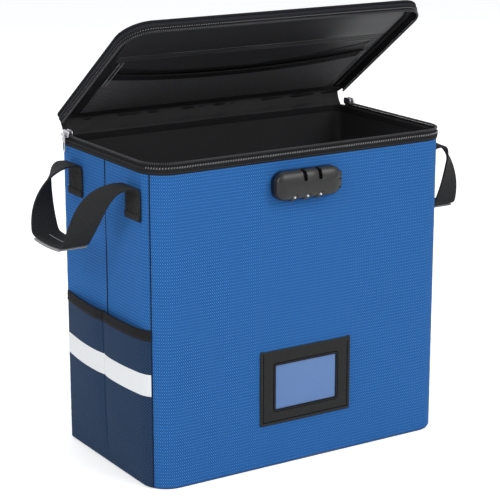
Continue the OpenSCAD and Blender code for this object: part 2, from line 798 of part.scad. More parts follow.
// The sewn ends of the webbing, which rise to the bend
module left_ends() {
    stop = bend_out - webbing_t / 2 - run_gap;
    for (side = [-1, 1]) color("black") ribbon([
        for (p = [[webbing_t / 2, -patch_h], [webbing_t / 2, -patch_h / 2], [webbing_t / 2, 0],
            [webbing_t / 2 + 0.6, bend_rise * 0.45], [stop * 0.45, bend_rise * 0.82],
            [stop * 0.75, bend_rise * 0.97], [stop, bend_rise]])
            [[side_x - p[0], side * leg_y, patch_top + p[1]], [0, 1, 0], webbing_t]], webbing_w);
}
module handle_left_ends() {
    left_ends();
}
module handle_right_ends() {
    right_hand() left_ends();
}
module handle_left_strap() {
    left_strap(grip_drop);
}
module handle_right_strap() {
    right_hand() left_strap(grip_drop + right_sag);
}
module handle_left_grip() {
    left_grip(grip_drop);
}
module handle_right_grip() {
    right_hand() left_grip(grip_drop + right_sag);
}

front_panel();
back_panel();
left_panel();
right_panel();
bottom_panel();
front_board();
back_board();
left_front_board();
left_back_board();
right_front_board();
right_back_board();
body_lining();
base_board();
base_pad();
rim_binding();
body_zip_tape();
body_zip_coil();
hinge_tape();
lid_cover();
lid_board();
lid_lining();
lid_side_band();
lid_piping();
lid_binding();
lid_zip_tape();
lid_zip_coil();
lid_hinge_roll();
lid_front_panel();
lid_stitched_band();
lid_net_pocket();
lid_net_elastic();
side_pocket();
side_pocket_binding();
reflective_strip();
label_frame();
label_film();
lock_housing();
lock_plate();
lock_spindle();
lock_screws();
lock_dial_1();
lock_dial_2();
lock_dial_3();
lock_button();
lock_latch();
lock_spring();
slider_left();
slider_right();
pull_left();
pull_right();
handle_left_ends();
handle_right_ends();
handle_left_strap();
handle_right_strap();
handle_left_grip();
handle_right_grip();
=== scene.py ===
"""A soft-sided record carrying case, put together piece by piece.

Everything is in metres in the case's own frame: the origin is the centre of the base,
+X runs to the right along the front, -Y is the front and +Z is up.
"""

import json
import math

import bmesh
import bpy
import numpy as np
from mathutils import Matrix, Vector


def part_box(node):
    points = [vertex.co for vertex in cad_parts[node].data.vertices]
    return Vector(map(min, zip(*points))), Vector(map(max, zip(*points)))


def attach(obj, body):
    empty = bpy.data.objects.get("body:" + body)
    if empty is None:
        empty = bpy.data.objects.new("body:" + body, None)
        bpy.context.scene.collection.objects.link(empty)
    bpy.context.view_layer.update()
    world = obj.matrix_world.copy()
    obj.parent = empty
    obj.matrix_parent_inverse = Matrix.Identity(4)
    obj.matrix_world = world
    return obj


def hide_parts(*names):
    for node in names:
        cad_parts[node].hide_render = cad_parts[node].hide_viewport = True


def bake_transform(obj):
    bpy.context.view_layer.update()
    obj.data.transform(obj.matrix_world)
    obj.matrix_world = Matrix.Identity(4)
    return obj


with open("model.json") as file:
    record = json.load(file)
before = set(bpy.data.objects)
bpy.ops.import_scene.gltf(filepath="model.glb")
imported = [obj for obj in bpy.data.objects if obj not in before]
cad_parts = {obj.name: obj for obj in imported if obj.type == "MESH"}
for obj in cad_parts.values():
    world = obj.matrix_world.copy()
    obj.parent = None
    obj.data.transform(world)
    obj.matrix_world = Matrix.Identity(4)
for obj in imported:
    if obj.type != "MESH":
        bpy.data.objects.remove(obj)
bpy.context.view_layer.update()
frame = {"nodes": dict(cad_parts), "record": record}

MM = 0.001

# ---- Camera ----
# The case is seen from its left front corner and a little above, through a long lens,
# so that its sides stay nearly parallel. The frame is square.
def linked_object(name, data):
    """An object in the scene that shows some data."""
    made = bpy.data.objects.new(name, data)
    bpy.context.collection.objects.link(made)
    return made


view_azimuth = math.radians(-32.26)
view_elevation = math.radians(15.03)
view_distance = 1.877
view_target = Vector((-0.0058, 0.0, 0.2074))

camera_data = bpy.data.cameras.new("camera")
camera_data.sensor_width = 36.0
camera_data.lens = 125.5
camera = linked_object("camera", camera_data)
towards_camera = Vector((
    math.sin(view_azimuth) * math.cos(view_elevation),
    -math.cos(view_azimuth) * math.cos(view_elevation),
    math.sin(view_elevation)))
camera.location = view_target + towards_camera * view_distance
camera.rotation_euler = towards_camera.to_track_quat("Z", "Y").to_euler()
bpy.context.scene.camera = camera
bpy.context.scene.view_settings.view_transform = "Standard"


# ---- Floor and studio light ----
# A plain pale floor under a white surround. Three large soft lamps give the front and
# the left side nearly the same light, with the front's left part a little darker.
def empty_tree(owner):
    """The shader tree of a world or a material, without its first nodes."""
    owner.use_nodes = True
    owner.node_tree.nodes.clear()
    return owner.node_tree


def add_node(tree, kind, inputs=None, **settings):
    """A node with its settings; each input is a value or the socket that feeds it."""
    made = tree.nodes.new(kind)
    for key, value in settings.items():
        setattr(made, key, value)
    for key, value in (inputs or {}).items():
        if isinstance(value, bpy.types.NodeSocket):
            tree.links.new(value, made.inputs[key])
        else:
            made.inputs[key].default_value = value
    return made


def sum_up(tree, operation, *values):
    """The result of one Math node."""
    return add_node(tree, "ShaderNodeMath", dict(enumerate(values)), operation=operation).outputs[0]


def shown_ray(tree):
    """1 for rays that show the surround itself, straight or in gloss and glass."""
    path = add_node(tree, "ShaderNodeLightPath")
    seen = sum_up(tree, "MAXIMUM", path.outputs["Is Camera Ray"], path.outputs["Is Glossy Ray"])
    return sum_up(tree, "MAXIMUM", seen, path.outputs["Is Transmission Ray"])


world = bpy.data.worlds.new("studio")
bpy.context.scene.world = world
sky = empty_tree(world)
soft_light = add_node(sky, "ShaderNodeBackground", {"Color": (0.96, 0.98, 1.0, 1), "Strength": 0.62})
white_surround = add_node(sky, "ShaderNodeBackground", {"Color": (1, 1, 1, 1), "Strength": 1.0})
sky_mix = add_node(sky, "ShaderNodeMixShader", {
    "Fac": shown_ray(sky), 1: soft_light.outputs[0], 2: white_surround.outputs[0]})
add_node(sky, "ShaderNodeOutputWorld", {"Surface": sky_mix.outputs[0]})

floor_mesh = bpy.data.meshes.new("floor")
floor_half, floor_drop = 4.0, 0.0002
floor_mesh.from_pydata(
    [(x * floor_half, y * floor_half, -floor_drop) for x, y in ((-1, -1), (1, -1), (1, 1), (-1, 1))],
    [], [(0, 1, 2, 3)])
floor_material = bpy.data.materials.new("pale_floor")
ground = empty_tree(floor_material)
floor_speck = add_node(ground, "ShaderNodeTexNoise", {"Scale": 3.0})
floor_tone = add_node(ground, "ShaderNodeMapRange", {
    "Value": floor_speck.outputs["Fac"], "To Min": 0.80, "To Max": 0.82})
floor_matt = add_node(ground, "ShaderNodeBsdfDiffuse", {"Color": floor_tone.outputs[0]})
floor_glow = add_node(ground, "ShaderNodeEmission", {
    "Strength": sum_up(ground, "MULTIPLY_ADD", shown_ray(ground), 0.40, 0.06)})
floor_sum = add_node(ground, "ShaderNodeAddShader", {0: floor_matt.outputs[0], 1: floor_glow.outputs[0]})
add_node(ground, "ShaderNodeOutputMaterial", {"Surface": floor_sum.outputs[0]})
floor_mesh.materials.append(floor_material)
linked_object("floor", floor_mesh)


def soft_lamp(name, place, target, size, power):
    """A square lamp that looks at its target."""
    data = bpy.data.lights.new(name, "AREA")
    data.size = size
    data.energy = power
    lamp = linked_object(name, data)
    lamp.location = place
    lamp.rotation_euler = (Vector(place) - Vector(target)).to_track_quat("Z", "Y").to_euler()


soft_lamp("key_lamp", (1.0, -2.2, 1.9), (0, 0, 0.2), 1.6, 34)
soft_lamp("side_lamp", (-2.3, -0.9, 1.5), (0, 0, 0.2), 1.5, 26)
soft_lamp("back_lamp", (0.4, 2.0, 1.8), (0, 0, 0.3), 1.4, 14)


# ---- Blue fabric ----
# Coated polyester in a plain basket weave. Rows of small dots on its raised threads are
# painted highlights, and the hollows between them are painted darker as shade, besides their bump.
def new_group(name, inputs, outputs):
    """An empty shader group; inputs are (name, kind, value), outputs (name, kind)."""
    group = bpy.data.node_groups.new(name, "ShaderNodeTree")
    for label, kind, value in inputs:
        made = group.interface.new_socket(label, in_out="INPUT", socket_type=kind)
        if value is not None:
            made.default_value = value
    for label, kind in outputs:
        group.interface.new_socket(label, in_out="OUTPUT", socket_type=kind)
    return group, add_node(group, "NodeGroupInput"), add_node(group, "NodeGroupOutput")


def feed(group_out, group, label, socket):
    """Joins a socket to one of a group's outputs."""
    group.links.new(socket, group_out.inputs[label])


# Weave: threads of one pitch that cross over and under, from a vector in metres. Besides the height it gives
# masks for painted highlights: on the crowns of the threads that lie over, and on every other one of these as
# dots.
weave_group, weave_in, weave_out = new_group(
    "weave",
    [("Vector", "NodeSocketVector", None), ("Pitch", "NodeSocketFloat", 1.0 * MM),
     ("Turn", "NodeSocketFloat", 0.0), ("Stretch", "NodeSocketFloat", 1.0)],
    [("Height", "NodeSocketFloat"), ("Thread", "NodeSocketFloat"), ("Dots", "NodeSocketFloat"),
     ("Fuzz", "NodeSocketFloat")])
turned = add_node(weave_group, "ShaderNodeVectorRotate", {
    "Vector": weave_in.outputs["Vector"], "Angle": weave_in.outputs["Turn"]}, rotation_type="Z_AXIS")
weave_xyz = add_node(weave_group, "ShaderNodeSeparateXYZ", {"Vector": turned.outputs[0]})
tall_pitch = sum_up(weave_group, "MULTIPLY", weave_in.outputs["Pitch"], weave_in.outputs["Stretch"])
cell, across = [], []
for axis, pitch in (("X", weave_in.outputs["Pitch"]), ("Y", tall_pitch)):
    place = sum_up(weave_group, "DIVIDE", weave_xyz.outputs[axis], pitch)
    cell.append(sum_up(weave_group, "FLOOR", place))
    share = sum_up(weave_group, "FRACT", place)
    across.append(sum_up(weave_group, "SINE", sum_up(weave_group, "MULTIPLY", share, math.pi)))
is_warp = sum_up(weave_group, "FLOORED_MODULO", sum_up(weave_group, "ADD", *cell), 2.0)
crown = sum_up(weave_group, "MULTIPLY", sum_up(weave_group, "POWER", across[0], 0.6),
    sum_up(weave_group, "POWER", across[1], 0.6))
weave_height = sum_up(weave_group, "MULTIPLY", crown,
    sum_up(weave_group, "MULTIPLY_ADD", is_warp, 0.55, 0.45))
is_highlight_dot = sum_up(weave_group, "MULTIPLY", is_warp, sum_up(weave_group, "FLOORED_MODULO", cell[0], 2.0))
fuzz = add_node(weave_group, "ShaderNodeTexNoise", {
    "Vector": weave_in.outputs["Vector"], "Scale": 900.0, "Detail": 2.0})
feed(weave_out, weave_group, "Height", weave_height)
# Painted highlights: the crowns of the threads that lie over, and every other one of them as dots.
feed(weave_out, weave_group, "Thread", sum_up(weave_group, "MULTIPLY", crown, is_warp))
feed(weave_out, weave_group, "Dots", sum_up(weave_group, "MULTIPLY", crown, is_highlight_dot))
feed(weave_out, weave_group, "Fuzz", fuzz.outputs["Fac"])

# Soiling: slow changes of tone over a piece, from its place on the object
soil_group, soil_in, soil_out = new_group(
    "soiling", [("Scale", "NodeSocketFloat", 9.0), ("Amount", "NodeSocketFloat", 0.08)],
    [("Tone", "NodeSocketFloat")])
soil_place = add_node(soil_group, "ShaderNodeTexCoord")
soil_noise = add_node(soil_group, "ShaderNodeTexNoise", {
    "Vector": soil_place.outputs["Object"], "Scale": soil_in.outputs["Scale"], "Detail": 5.0})
soil_centred = sum_up(soil_group, "SUBTRACT", soil_noise.outputs["Fac"], 0.5)
feed(soil_out, soil_group, "Tone",
    sum_up(soil_group, "MULTIPLY_ADD", soil_centred, soil_in.outputs["Amount"], 1.0))


def use_group(tree, group, **inputs):
    """A group placed in a material, with its inputs as values or sockets."""
    return add_node(tree, "ShaderNodeGroup", inputs, node_tree=group)


def mix_colour(tree, share, low, high, mode="MIX"):
    """A mix of two colours; share, low and high are values or sockets."""
    low, high = (c if isinstance(c, bpy.types.NodeSocket) else (*c, 1.0) for c in (low, high))
    return add_node(tree, "ShaderNodeMix", {0: share, 6: low, 7: high}, data_type="RGBA",
        blend_type=mode).outputs[2]


def new_material(name, roughness, gloss=0.2, **settings):
    """A Principled material; settings are its other plain inputs."""
    made = bpy.data.materials.new(name)
    tree = empty_tree(made)
    shader = add_node(tree, "ShaderNodeBsdfPrincipled", {
        "Roughness": roughness, "Specular IOR Level": gloss,
        **{key.replace("_", " "): v for key, v in settings.items()}})
    add_node(tree, "ShaderNodeOutputMaterial", {"Surface": shader.outputs[0]})
    return made, tree, shader


def finish_surface(tree, shader, colour, height, depth):
    """Feeds the shader with a colour, soiled a little, and with a bump of the height."""
    soil = use_group(tree, soil_group)
    shade = add_node(tree, "ShaderNodeCombineColor", {
        key: soil.outputs["Tone"] for key in ("Red", "Green", "Blue")})
    toned = mix_colour(tree, 1.0, colour, shade.outputs[0], "MULTIPLY")
    tree.links.new(toned, shader.inputs["Base Color"])
    bump = add_node(tree, "ShaderNodeBump", {"Height": height, "Distance": depth, "Strength": 1.0})
    tree.links.new(bump.outputs[0], shader.inputs["Normal"])


def woven_material(name, low, high, pitch, depth, turn=0.0, roughness=0.8, stretch=1.0,
        shares=(0.35, 0.8, 0.0), **settings):
    """Woven cloth on the piece's own UV map, which is in metres.

    The shares are those of the fuzz, and of the painted highlights on the crossed threads and on the rows of
    dots; where the threads' crowns fall away, the colour is painted darker as shade."""
    made, tree, shader = new_material(name, roughness, **settings)
    spread = add_node(tree, "ShaderNodeUVMap", uv_map="flat")
    weave = use_group(tree, weave_group, Vector=spread.outputs[0], Pitch=pitch, Turn=turn, Stretch=stretch)
    # The colour takes painted highlights from the weave's crowns, besides the random fuzz.
    thread = sum_up(tree, "MULTIPLY", weave.outputs["Fuzz"], shares[0])
    for part, share in (("Thread", shares[1]), ("Dots", shares[2])):
        if share:
            thread = sum_up(tree, "MULTIPLY_ADD", weave.outputs[part], share, thread)
    finish_surface(tree, shader, mix_colour(tree, thread, low, high), weave.outputs["Height"], depth)
    return made


# The blue's lighter dots and thread crowns are painted highlights.
blue_fabric = woven_material("blue_fabric", (0.007, 0.077, 0.268), (0.077, 0.264, 0.660), pitch=1.15 * MM,
    stretch=1.47, depth=0.35 * MM, roughness=0.75, gloss=0.08, shares=(0.15, 0.52, 0.68))


# ---- Body panels ----
# Four panels of the blue fabric are sewn together at the corners, over boards that keep
# them flat. The seams sink in and pucker a little, and each side has a pressed fold line
# down its middle, where the case can fold.
base_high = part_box("bottom_panel")[1]
half_l, half_w = base_high.x, base_high.y
front_r, back_r = 28 * MM, 12 * MM
seam_turn = 30
skin_t = 1.2 * MM
panel_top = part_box("front_panel")[1].z

front_left_corner = (-half_l + front_r, -half_w + front_r, front_r)
front_right_corner = (half_l - front_r, -half_w + front_r, front_r)
back_right_corner = (half_l - back_r, half_w - back_r, back_r)
back_left_corner = (-half_l + back_r, half_w - back_r, back_r)


def run_along(points):
    """The distance run at each of a row of points."""
    return np.r_[0, np.cumsum(np.linalg.norm(np.diff(points, axis=0), axis=1))]


def plan_path(*arcs, step=4 * MM, folds=(), closed=False):
    """Stops along arcs (corner, from, to) and the straight runs between them.

    Gives x, y, the outward normal's x and y, and the distance run, one row per stop. The
    stops stand closer beside the ends and the folds, which are given as distances."""
    points = []
    for (x, y, r), low, high in arcs:
        for turn in np.radians(np.linspace(low, high, 2 + abs(high - low) // 3 if r else 1)):
            points.append((x + r * math.cos(turn), y + r * math.sin(turn)))
    if closed:
        points.append(points[0])
    points = np.array(points)
    run = run_along(points)
    total = run[-1]
    stops = set(np.round(np.linspace(0, total, max(3, round(total / step))), 6))
    for mark in (*folds, *(() if closed else (0, total))):
        stops = {s for s in stops if abs(s - mark) > 3.2 * MM or s in (0, total)}
        stops |= {mark + side * d * MM for side in (-1, 1) for d in (0, 0.35, 0.7, 1.1, 1.6, 2.4, 3.4)}
    s = np.array(sorted({round(float(s), 6) for s in stops if -1e-7 <= s <= total + 1e-7}))
    x, y = np.interp(s, run, points[:, 0]), np.interp(s, run, points[:, 1])
    nudge = 0.4 * MM
    if closed:
        ahead, behind = (s + nudge) % total, (s - nudge) % total
    else:
        ahead, behind = np.clip(s + nudge, 0, total), np.clip(s - nudge, 0, total)
    tx = np.interp(ahead, run, points[:, 0]) - np.interp(behind, run, points[:, 0])
    ty = np.interp(ahead, run, points[:, 1]) - np.interp(behind, run, points[:, 1])
    length = np.hypot(tx, ty)
    return np.c_[x, y, ty / length, -tx / length, s]


def rows_between(low, high, fine, step=4 * MM):
    """Heights from low to high; fine gives those beside the two ends, in millimetres from them."""
    near = [low + d * MM for d in fine] + [high - d * MM for d in fine]
    margin = (fine[-1] + 1) * MM
    return np.array(sorted(near + list(np.linspace(low + margin, high - margin,
        max(2, round((high - low) / step))))))


def sway(a, b, seed, length=0.09, waves=7):
    """A smooth wander between about -1 and 1 over two distances; a seed picks which."""
    draw = np.random.RandomState(seed)
    total = 0
    for _ in range(waves):
        turn, wave = draw.uniform(0, math.pi), length * draw.uniform(0.6, 1.6)
        start = draw.uniform(0, math.tau)
        total = total + np.sin((a * math.cos(turn) + b * math.sin(turn)) * math.tau / wave + start)
    return total / math.sqrt(waves) / 1.4


def bump_at(distance, width):
    """1 at no distance, falling smoothly to nothing past the width."""
    return np.exp(-(distance / width) ** 2)


def build_mesh(name, points, faces, uvs, smooth_angle):
    """A mesh from points, faces and one UV per face corner, smooth up to an angle."""
    mesh = bpy.data.meshes.new(name)
    mesh.from_pydata([tuple(p) for p in points], [], [tuple(int(i) for i in f) for f in faces])
    if uvs is not None:
        layer = mesh.uv_layers.new(name="flat")
        layer.data.foreach_set("uv", np.array(uvs, dtype=np.float32).ravel())
    mesh.polygons.foreach_set("use_smooth", [True] * len(mesh.polygons))
    mesh.update()
    mesh.set_sharp_from_angle(angle=math.radians(smooth_angle))
    return mesh


def add_piece(name, mesh, material, body, slot, *nodes):
    """The finished piece: it rides on a body and may stand for CAD nodes.

    One that is called what its node is called gets a longer name of its own."""
    piece = linked_object(name + "_piece" * (name in nodes), mesh)
    if material is not None:
        mesh.materials.append(material)
    if body is not None:
        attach(piece, body)
    if nodes:
        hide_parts(*nodes)
    return piece


def face_normals(grid, loop):
    """The normal at each point of a grid whose columns run right and rows up, seen from outside."""
    if loop:
        right = np.roll(grid, -1, axis=1) - np.roll(grid, 1, axis=1)
    else:
        right = np.gradient(grid, axis=1)
    normal = np.cross(right, np.gradient(grid, axis=0))
    return normal / np.maximum(np.linalg.norm(normal, axis=2, keepdims=True), 1e-12)


def cloth(name, grid, u, v, thick, loop=False, edge=0.5):
    """A mesh of one layer of cloth: a grid of points on its outer face, and its thickness.

    u and v are the distances of the columns and rows on the flat cloth. A loop closes on
    itself along the columns, and its u has one more value. The edges are thinner by edge."""
    grid = np.asarray(grid, float)
    rows, cols = grid.shape[:2]
    depth = np.full((rows, cols), float(thick))
    depth[[0, -1], :] *= edge
    if not loop:
        depth[:, [0, -1]] *= edge
    normal = face_normals(grid, loop)
    shrink = (thick - depth)[..., None] / 2
    outer = grid - normal * shrink
    inner = grid - normal * (thick - shrink)
    points = np.concatenate([outer.reshape(-1, 3), inner.reshape(-1, 3)])
    layer, faces, uvs = rows * cols, [], []
    for j in range(cols if loop else cols - 1):
        k = (j + 1) % cols
        for i in range(rows - 1):
            quad = (i * cols + j, i * cols + k, (i + 1) * cols + k, (i + 1) * cols + j)
            flat = ((u[j], v[i]), (u[j + 1], v[i]), (u[j + 1], v[i + 1]), (u[j], v[i + 1]))
            faces.append(quad)
            uvs.extend(flat)
            faces.append(tuple(layer + q for q in quad[::-1]))
            uvs.extend(flat[::-1])
        for i, turn in ((0, 1), (rows - 1, -1)):
            rim = (i * cols + j, layer + i * cols + j, layer + i * cols + k, i * cols + k)
            faces.append(rim[::turn])
            uvs.extend(((u[j], v[i]), (u[j], v[i] - thick), (u[j + 1], v[i] - thick),
                (u[j + 1], v[i]))[::turn])
    if not loop:
        for i in range(rows - 1):
            for j, turn in ((0, 1), (cols - 1, -1)):
                rim = (i * cols + j, (i + 1) * cols + j, layer + (i + 1) * cols + j, layer + i * cols + j)
                faces.append(rim[::turn])
                uvs.extend(((u[j], v[i]), (u[j], v[i + 1]), (u[j] - thick, v[i + 1]),
                    (u[j] - thick, v[i]))[::turn])
    return build_mesh(name, points, faces, uvs, 50)


def wall_grid(path, heights, out):
    """Points on a wall: a path in plan, heights, and how far each point stands out."""
    out = np.broadcast_to(out, (len(heights), len(path)))
    x = path[None, :, 0] + path[None, :, 2] * out
    y = path[None, :, 1] + path[None, :, 3] * out
    return np.stack([x, y, np.broadcast_to(heights[:, None], out.shape)], axis=2)


fold_under_r, hem_low = 3.4 * MM, 0.3 * MM
seam_sink, fold_sink = 1.0 * MM, 0.85 * MM
wall_edge_steps = (0, 0.5, 1.1, 1.8, 2.6, 3.4)


def tucked_under(heights):
    """How far a wall's lower edge turns in under the case."""
    below = np.clip(fold_under_r - heights, 0, fold_under_r * 0.97)
    return fold_under_r - np.sqrt(fold_under_r ** 2 - below ** 2)


def body_panel(name, seed, *arcs, fold=None):
    """One wall's cloth, sunk at its seams and at its fold and slack between them."""
    path = plan_path(*arcs, folds=() if fold is None else (fold,))
    heights = rows_between(hem_low, panel_top, fine=wall_edge_steps)
    s, z = path[:, 4][None, :], heights[:, None]
    from_seam = np.minimum(s, s[0, -1] - s)
    out = -seam_sink * bump_at(from_seam, 0.8 * MM) - 0.12 * MM * bump_at(from_seam, 5 * MM)
    out = out - 0.16 * MM * (1 + sway(s * 0, z, seed, length=0.016)) * bump_at(from_seam, 7 * MM)
    out = out - 0.30 * MM * (1 + sway(s, z, seed + 50, length=0.11)) * np.clip(from_seam / 0.02, 0, 1)
    out = out - tucked_under(heights)[:, None]
    if fold is not None:
        out = out - fold_sink * bump_at(s - fold, 0.8 * MM) - 0.25 * MM * bump_at(s - fold, 6 * MM)
    mesh = cloth(name, wall_grid(path, heights, out), path[:, 4], heights, skin_t)
    return add_piece(name, mesh, blue_fabric, "case", "blue_fabric", name)


body_panel("front_panel", 1, (front_left_corner, 180 + seam_turn, 270),
    (front_right_corner, 270, 360 - seam_turn))
body_panel("back_panel", 2, (back_right_corner, 45, 90), (back_left_corner, 90, 135))
to_middle = math.radians(45) * back_r + half_w - back_r
body_panel("left_panel", 3, (back_left_corner, 135, 180),
    (front_left_corner, 180, 180 + seam_turn), fold=to_middle)
body_panel("right_panel", 4, (front_right_corner, 360 - seam_turn, 360),
    (back_right_corner, 0, 45), fold=math.radians(seam_turn) * front_r + half_w - front_r)


# ---- Boards ----
# Grey-brown fibreboard stiffens every wall and the lid, and a loose board lies in the
# base. The boards are cut flat and slipped in between the fabric and the lining.
def speckled_material(name, low, high, scale, depth, roughness, stretch=(1, 1, 1), **settings):
    """A surface with a fine grain from its place on the object, stretched along its axes."""
    made, tree, shader = new_material(name, roughness, **settings)
    place = add_node(tree, "ShaderNodeTexCoord")
    drawn = add_node(tree, "ShaderNodeMapping", {"Vector": place.outputs["Object"], "Scale": stretch})
    grain = add_node(tree, "ShaderNodeTexNoise", {
        "Vector": drawn.outputs[0], "Scale": scale, "Detail": 6.0, "Roughness": 0.6})
    finish_surface(tree, shader, mix_colour(tree, grain.outputs["Fac"], low, high),
        grain.outputs["Fac"], depth)
    return made


fibreboard = speckled_material("fibreboard", (0.16, 0.11, 0.07), (0.36, 0.28, 0.19),
    scale=700.0, stretch=(1.0, 1.0, 0.35), depth=0.2 * MM, roughness=0.9)


def dress(material, *nodes):
    """Gives CAD nodes whose shape stays a finished material."""
    for name in nodes:
        slots = frame["nodes"][name].data.materials
        slots.clear()
        slots.append(material)


dress(fibreboard, "front_board", "back_board", "left_front_board", "left_back_board",
    "right_front_board", "right_back_board", "base_board", "lid_board")


# ---- Bottom panel ----
# The underside is a plain dark fabric, set in between the turned-under walls and sewn to
# them, so it lies flat on the floor.
base_fabric = woven_material("base_fabric", (0.012, 0.014, 0.022), (0.040, 0.046, 0.062),
    pitch=1.2 * MM, depth=0.25 * MM, roughness=0.85)
whole_outline = ((front_left_corner, 180, 270), (front_right_corner, 270, 360),
    (back_right_corner, 0, 90), (back_left_corner, 90, 180))


def flat_panel(name, inset, low, high, rise=None, rings=14):
    """A flat closed panel inside the outline: rings of points from its edge to its middle.

    Its UV is its plan. rise gives how far its upper face stands up at a share from the
    edge, 0, to the middle, 1, for each ring."""
    path = plan_path(*whole_outline, step=3.5 * MM, closed=True)[:-1]
    edge = path[:, :2] - path[:, 2:4] * inset
    count = len(edge)
    spine = np.c_[np.clip(edge[:, 0], -half_l + half_w, half_l - half_w), edge[:, 1] * 0]
    shares = np.r_[0, 0.006, 0.015, 0.03, np.linspace(0.06, 1, rings)]
    points, uvs = [], []
    for layer in (1, 0):
        for share in shares:
            plan = edge + (spine - edge) * share
            level = np.full(count, high if layer else low)
            if layer and rise:
                level = level + rise(share, plan)
            points.append(np.c_[plan, level])
    points = np.concatenate(points)
    faces, rings_count = [], len(shares)
    for j in range(count):
        k = (j + 1) % count
        for ring in range(rings_count - 1):
            a, b = ring * count, (ring + 1) * count
            faces.append((a + j, a + k, b + k, b + j))
            c, d = a + rings_count * count, b + rings_count * count
            faces.append((c + k, c + j, d + j, d + k))
        faces.append((j, rings_count * count + j, rings_count * count + k, k))
    mesh = build_mesh(name, points, faces, [points[i, :2] for f in faces for i in f], 50)
    close_doubles(mesh)
    return mesh


def close_doubles(mesh, reach=0.01 * MM):
    """Merges points that lie on each other and drops faces with no area."""
    work = bmesh.new()
    work.from_mesh(mesh)
    bmesh.ops.remove_doubles(work, verts=work.verts, dist=reach)
    bmesh.ops.dissolve_degenerate(work, edges=work.edges, dist=reach)
    work.to_mesh(mesh)
    work.free()


add_piece("bottom_panel", flat_panel("bottom_panel", 1.7 * MM, 0.0, 1.1 * MM), base_fabric,
    "case", "base_fabric", "bottom_panel")


# ---- Lining ----
# A black satin twill lines the walls and the floor. It is a little fuller than the
# boards behind it, so it lies in shallow waves between the seams.
lining_fabric = woven_material("lining_fabric", (0.010, 0.010, 0.011), (0.034, 0.034, 0.037),
    pitch=0.8 * MM, depth=0.15 * MM, turn=math.radians(45), roughness=0.5)
lining_t, wall_t = 0.8 * MM, 4.5 * MM
floor_top = 2.0 * MM
lining_path = plan_path(*whole_outline, step=5 * MM, closed=True)
lining_z = rows_between(floor_top, panel_top, step=8 * MM, fine=(0, 1.5))
run_round, height_up = lining_path[:-1, 4][None, :], lining_z[:, None]
slack = 0.35 * MM * (1 + sway(run_round, height_up, 21, length=0.12)) \
    * np.clip((panel_top - height_up) / 0.05, 0, 1)
lining_wall = wall_grid(lining_path[:-1], lining_z, -wall_t - slack)
lining = cloth("body_lining", lining_wall[:, ::-1], lining_path[::-1, 4], lining_z, lining_t, loop=True)
add_piece("body_lining", lining, lining_fabric, "case", "lining_fabric", "body_lining")
lining_floor = flat_panel("lining_floor", wall_t - lining_t / 2, 1.2 * MM, floor_top, rings=4)
add_piece("lining_floor", lining_floor, lining_fabric, "case", "lining_fabric")


# ---- Base pad ----
# The loose base board carries a thin foam pad in a black cover, crowned a little and
# drawn in by one row of stitches near its edge.
pad_cover = woven_material("pad_cover", (0.010, 0.010, 0.012), (0.036, 0.036, 0.040),
    pitch=1.4 * MM, depth=0.3 * MM, roughness=0.85)
pad_low, pad_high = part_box("base_pad")
pad_inset = 5.5 * MM


def pad_crown(share, plan):
    """Rounded at the edge, drawn in at the stitches, and crowned in the middle."""
    from_edge = share * (half_w - pad_inset)
    round_edge = -1.3 * MM * (1 - min(1.0, from_edge / (3 * MM))) ** 2
    stitches = -0.9 * MM * math.exp(-((from_edge - 12 * MM) / (2.2 * MM)) ** 2)
    waves = 0.2 * MM * sway(plan[:, 0], plan[:, 1], 31, length=0.07)
    return round_edge + stitches + (0.5 * MM + waves) * min(1.0, from_edge / (14 * MM))


base_pad = add_piece("base_pad",
    flat_panel("base_pad", pad_inset, pad_low.z, pad_high.z, pad_crown, rings=34), pad_cover,
    "case", "foam_pad", "base_pad")


# ---- Rim binding ----
# A ribbed woven tape is folded over the body's raw upper edge and sewn through with two
# rows of stitches.
def ribbed_material(name, low, high, rib, depth, roughness=0.75, turn=0.0, **settings):
    """Woven tape: ribs along its length, with fine cross threads, on the UV map in metres. The raised ribs
    are painted lighter, as highlight, and the hollows darker, as shade.
    """
    made, tree, shader = new_material(name, roughness, **settings)
    spread = add_node(tree, "ShaderNodeUVMap", uv_map="flat")
    slanted = add_node(tree, "ShaderNodeVectorRotate", {
        "Vector": spread.outputs[0], "Angle": turn}, rotation_type="Z_AXIS")
    parts = add_node(tree, "ShaderNodeSeparateXYZ", {"Vector": slanted.outputs[0]})
    ribs = sum_up(tree, "SINE", sum_up(tree, "MULTIPLY", parts.outputs["Y"], math.tau / rib))
    slant = sum_up(tree, "MULTIPLY_ADD", ribs, 0.25 * rib, parts.outputs["X"])
    threads = sum_up(tree, "SINE", sum_up(tree, "MULTIPLY", slant, math.tau / (0.55 * rib)))
    height = sum_up(tree, "MULTIPLY_ADD", threads, 0.22, sum_up(tree, "MULTIPLY_ADD", ribs, 0.3, 0.5))
    dust = add_node(tree, "ShaderNodeTexNoise", {"Vector": spread.outputs[0], "Scale": 800.0})
    # The height lightens the colour on the ribs: painted highlight, with painted shade between them.
    share = sum_up(tree, "MULTIPLY_ADD", dust.outputs["Fac"], 0.5, sum_up(tree, "MULTIPLY", height, 0.6))
    finish_surface(tree, shader, mix_colour(tree, share, low, high), height, depth)
    return made


binding_tape = ribbed_material("binding_tape", (0.005, 0.005, 0.006), (0.028, 0.028, 0.030),
    rib=1.1 * MM, depth=0.3 * MM, gloss=0.06)
rim_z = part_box("rim_binding")[1].z
binding_t = 0.7 * MM


def smoothed(values, rounds):
    """A row of values whose inner ones are eased towards their neighbours."""
    for _ in range(rounds):
        values[1:-1] = (values[:-2] + 2 * values[1:-1] + values[2:]) / 4
    return values


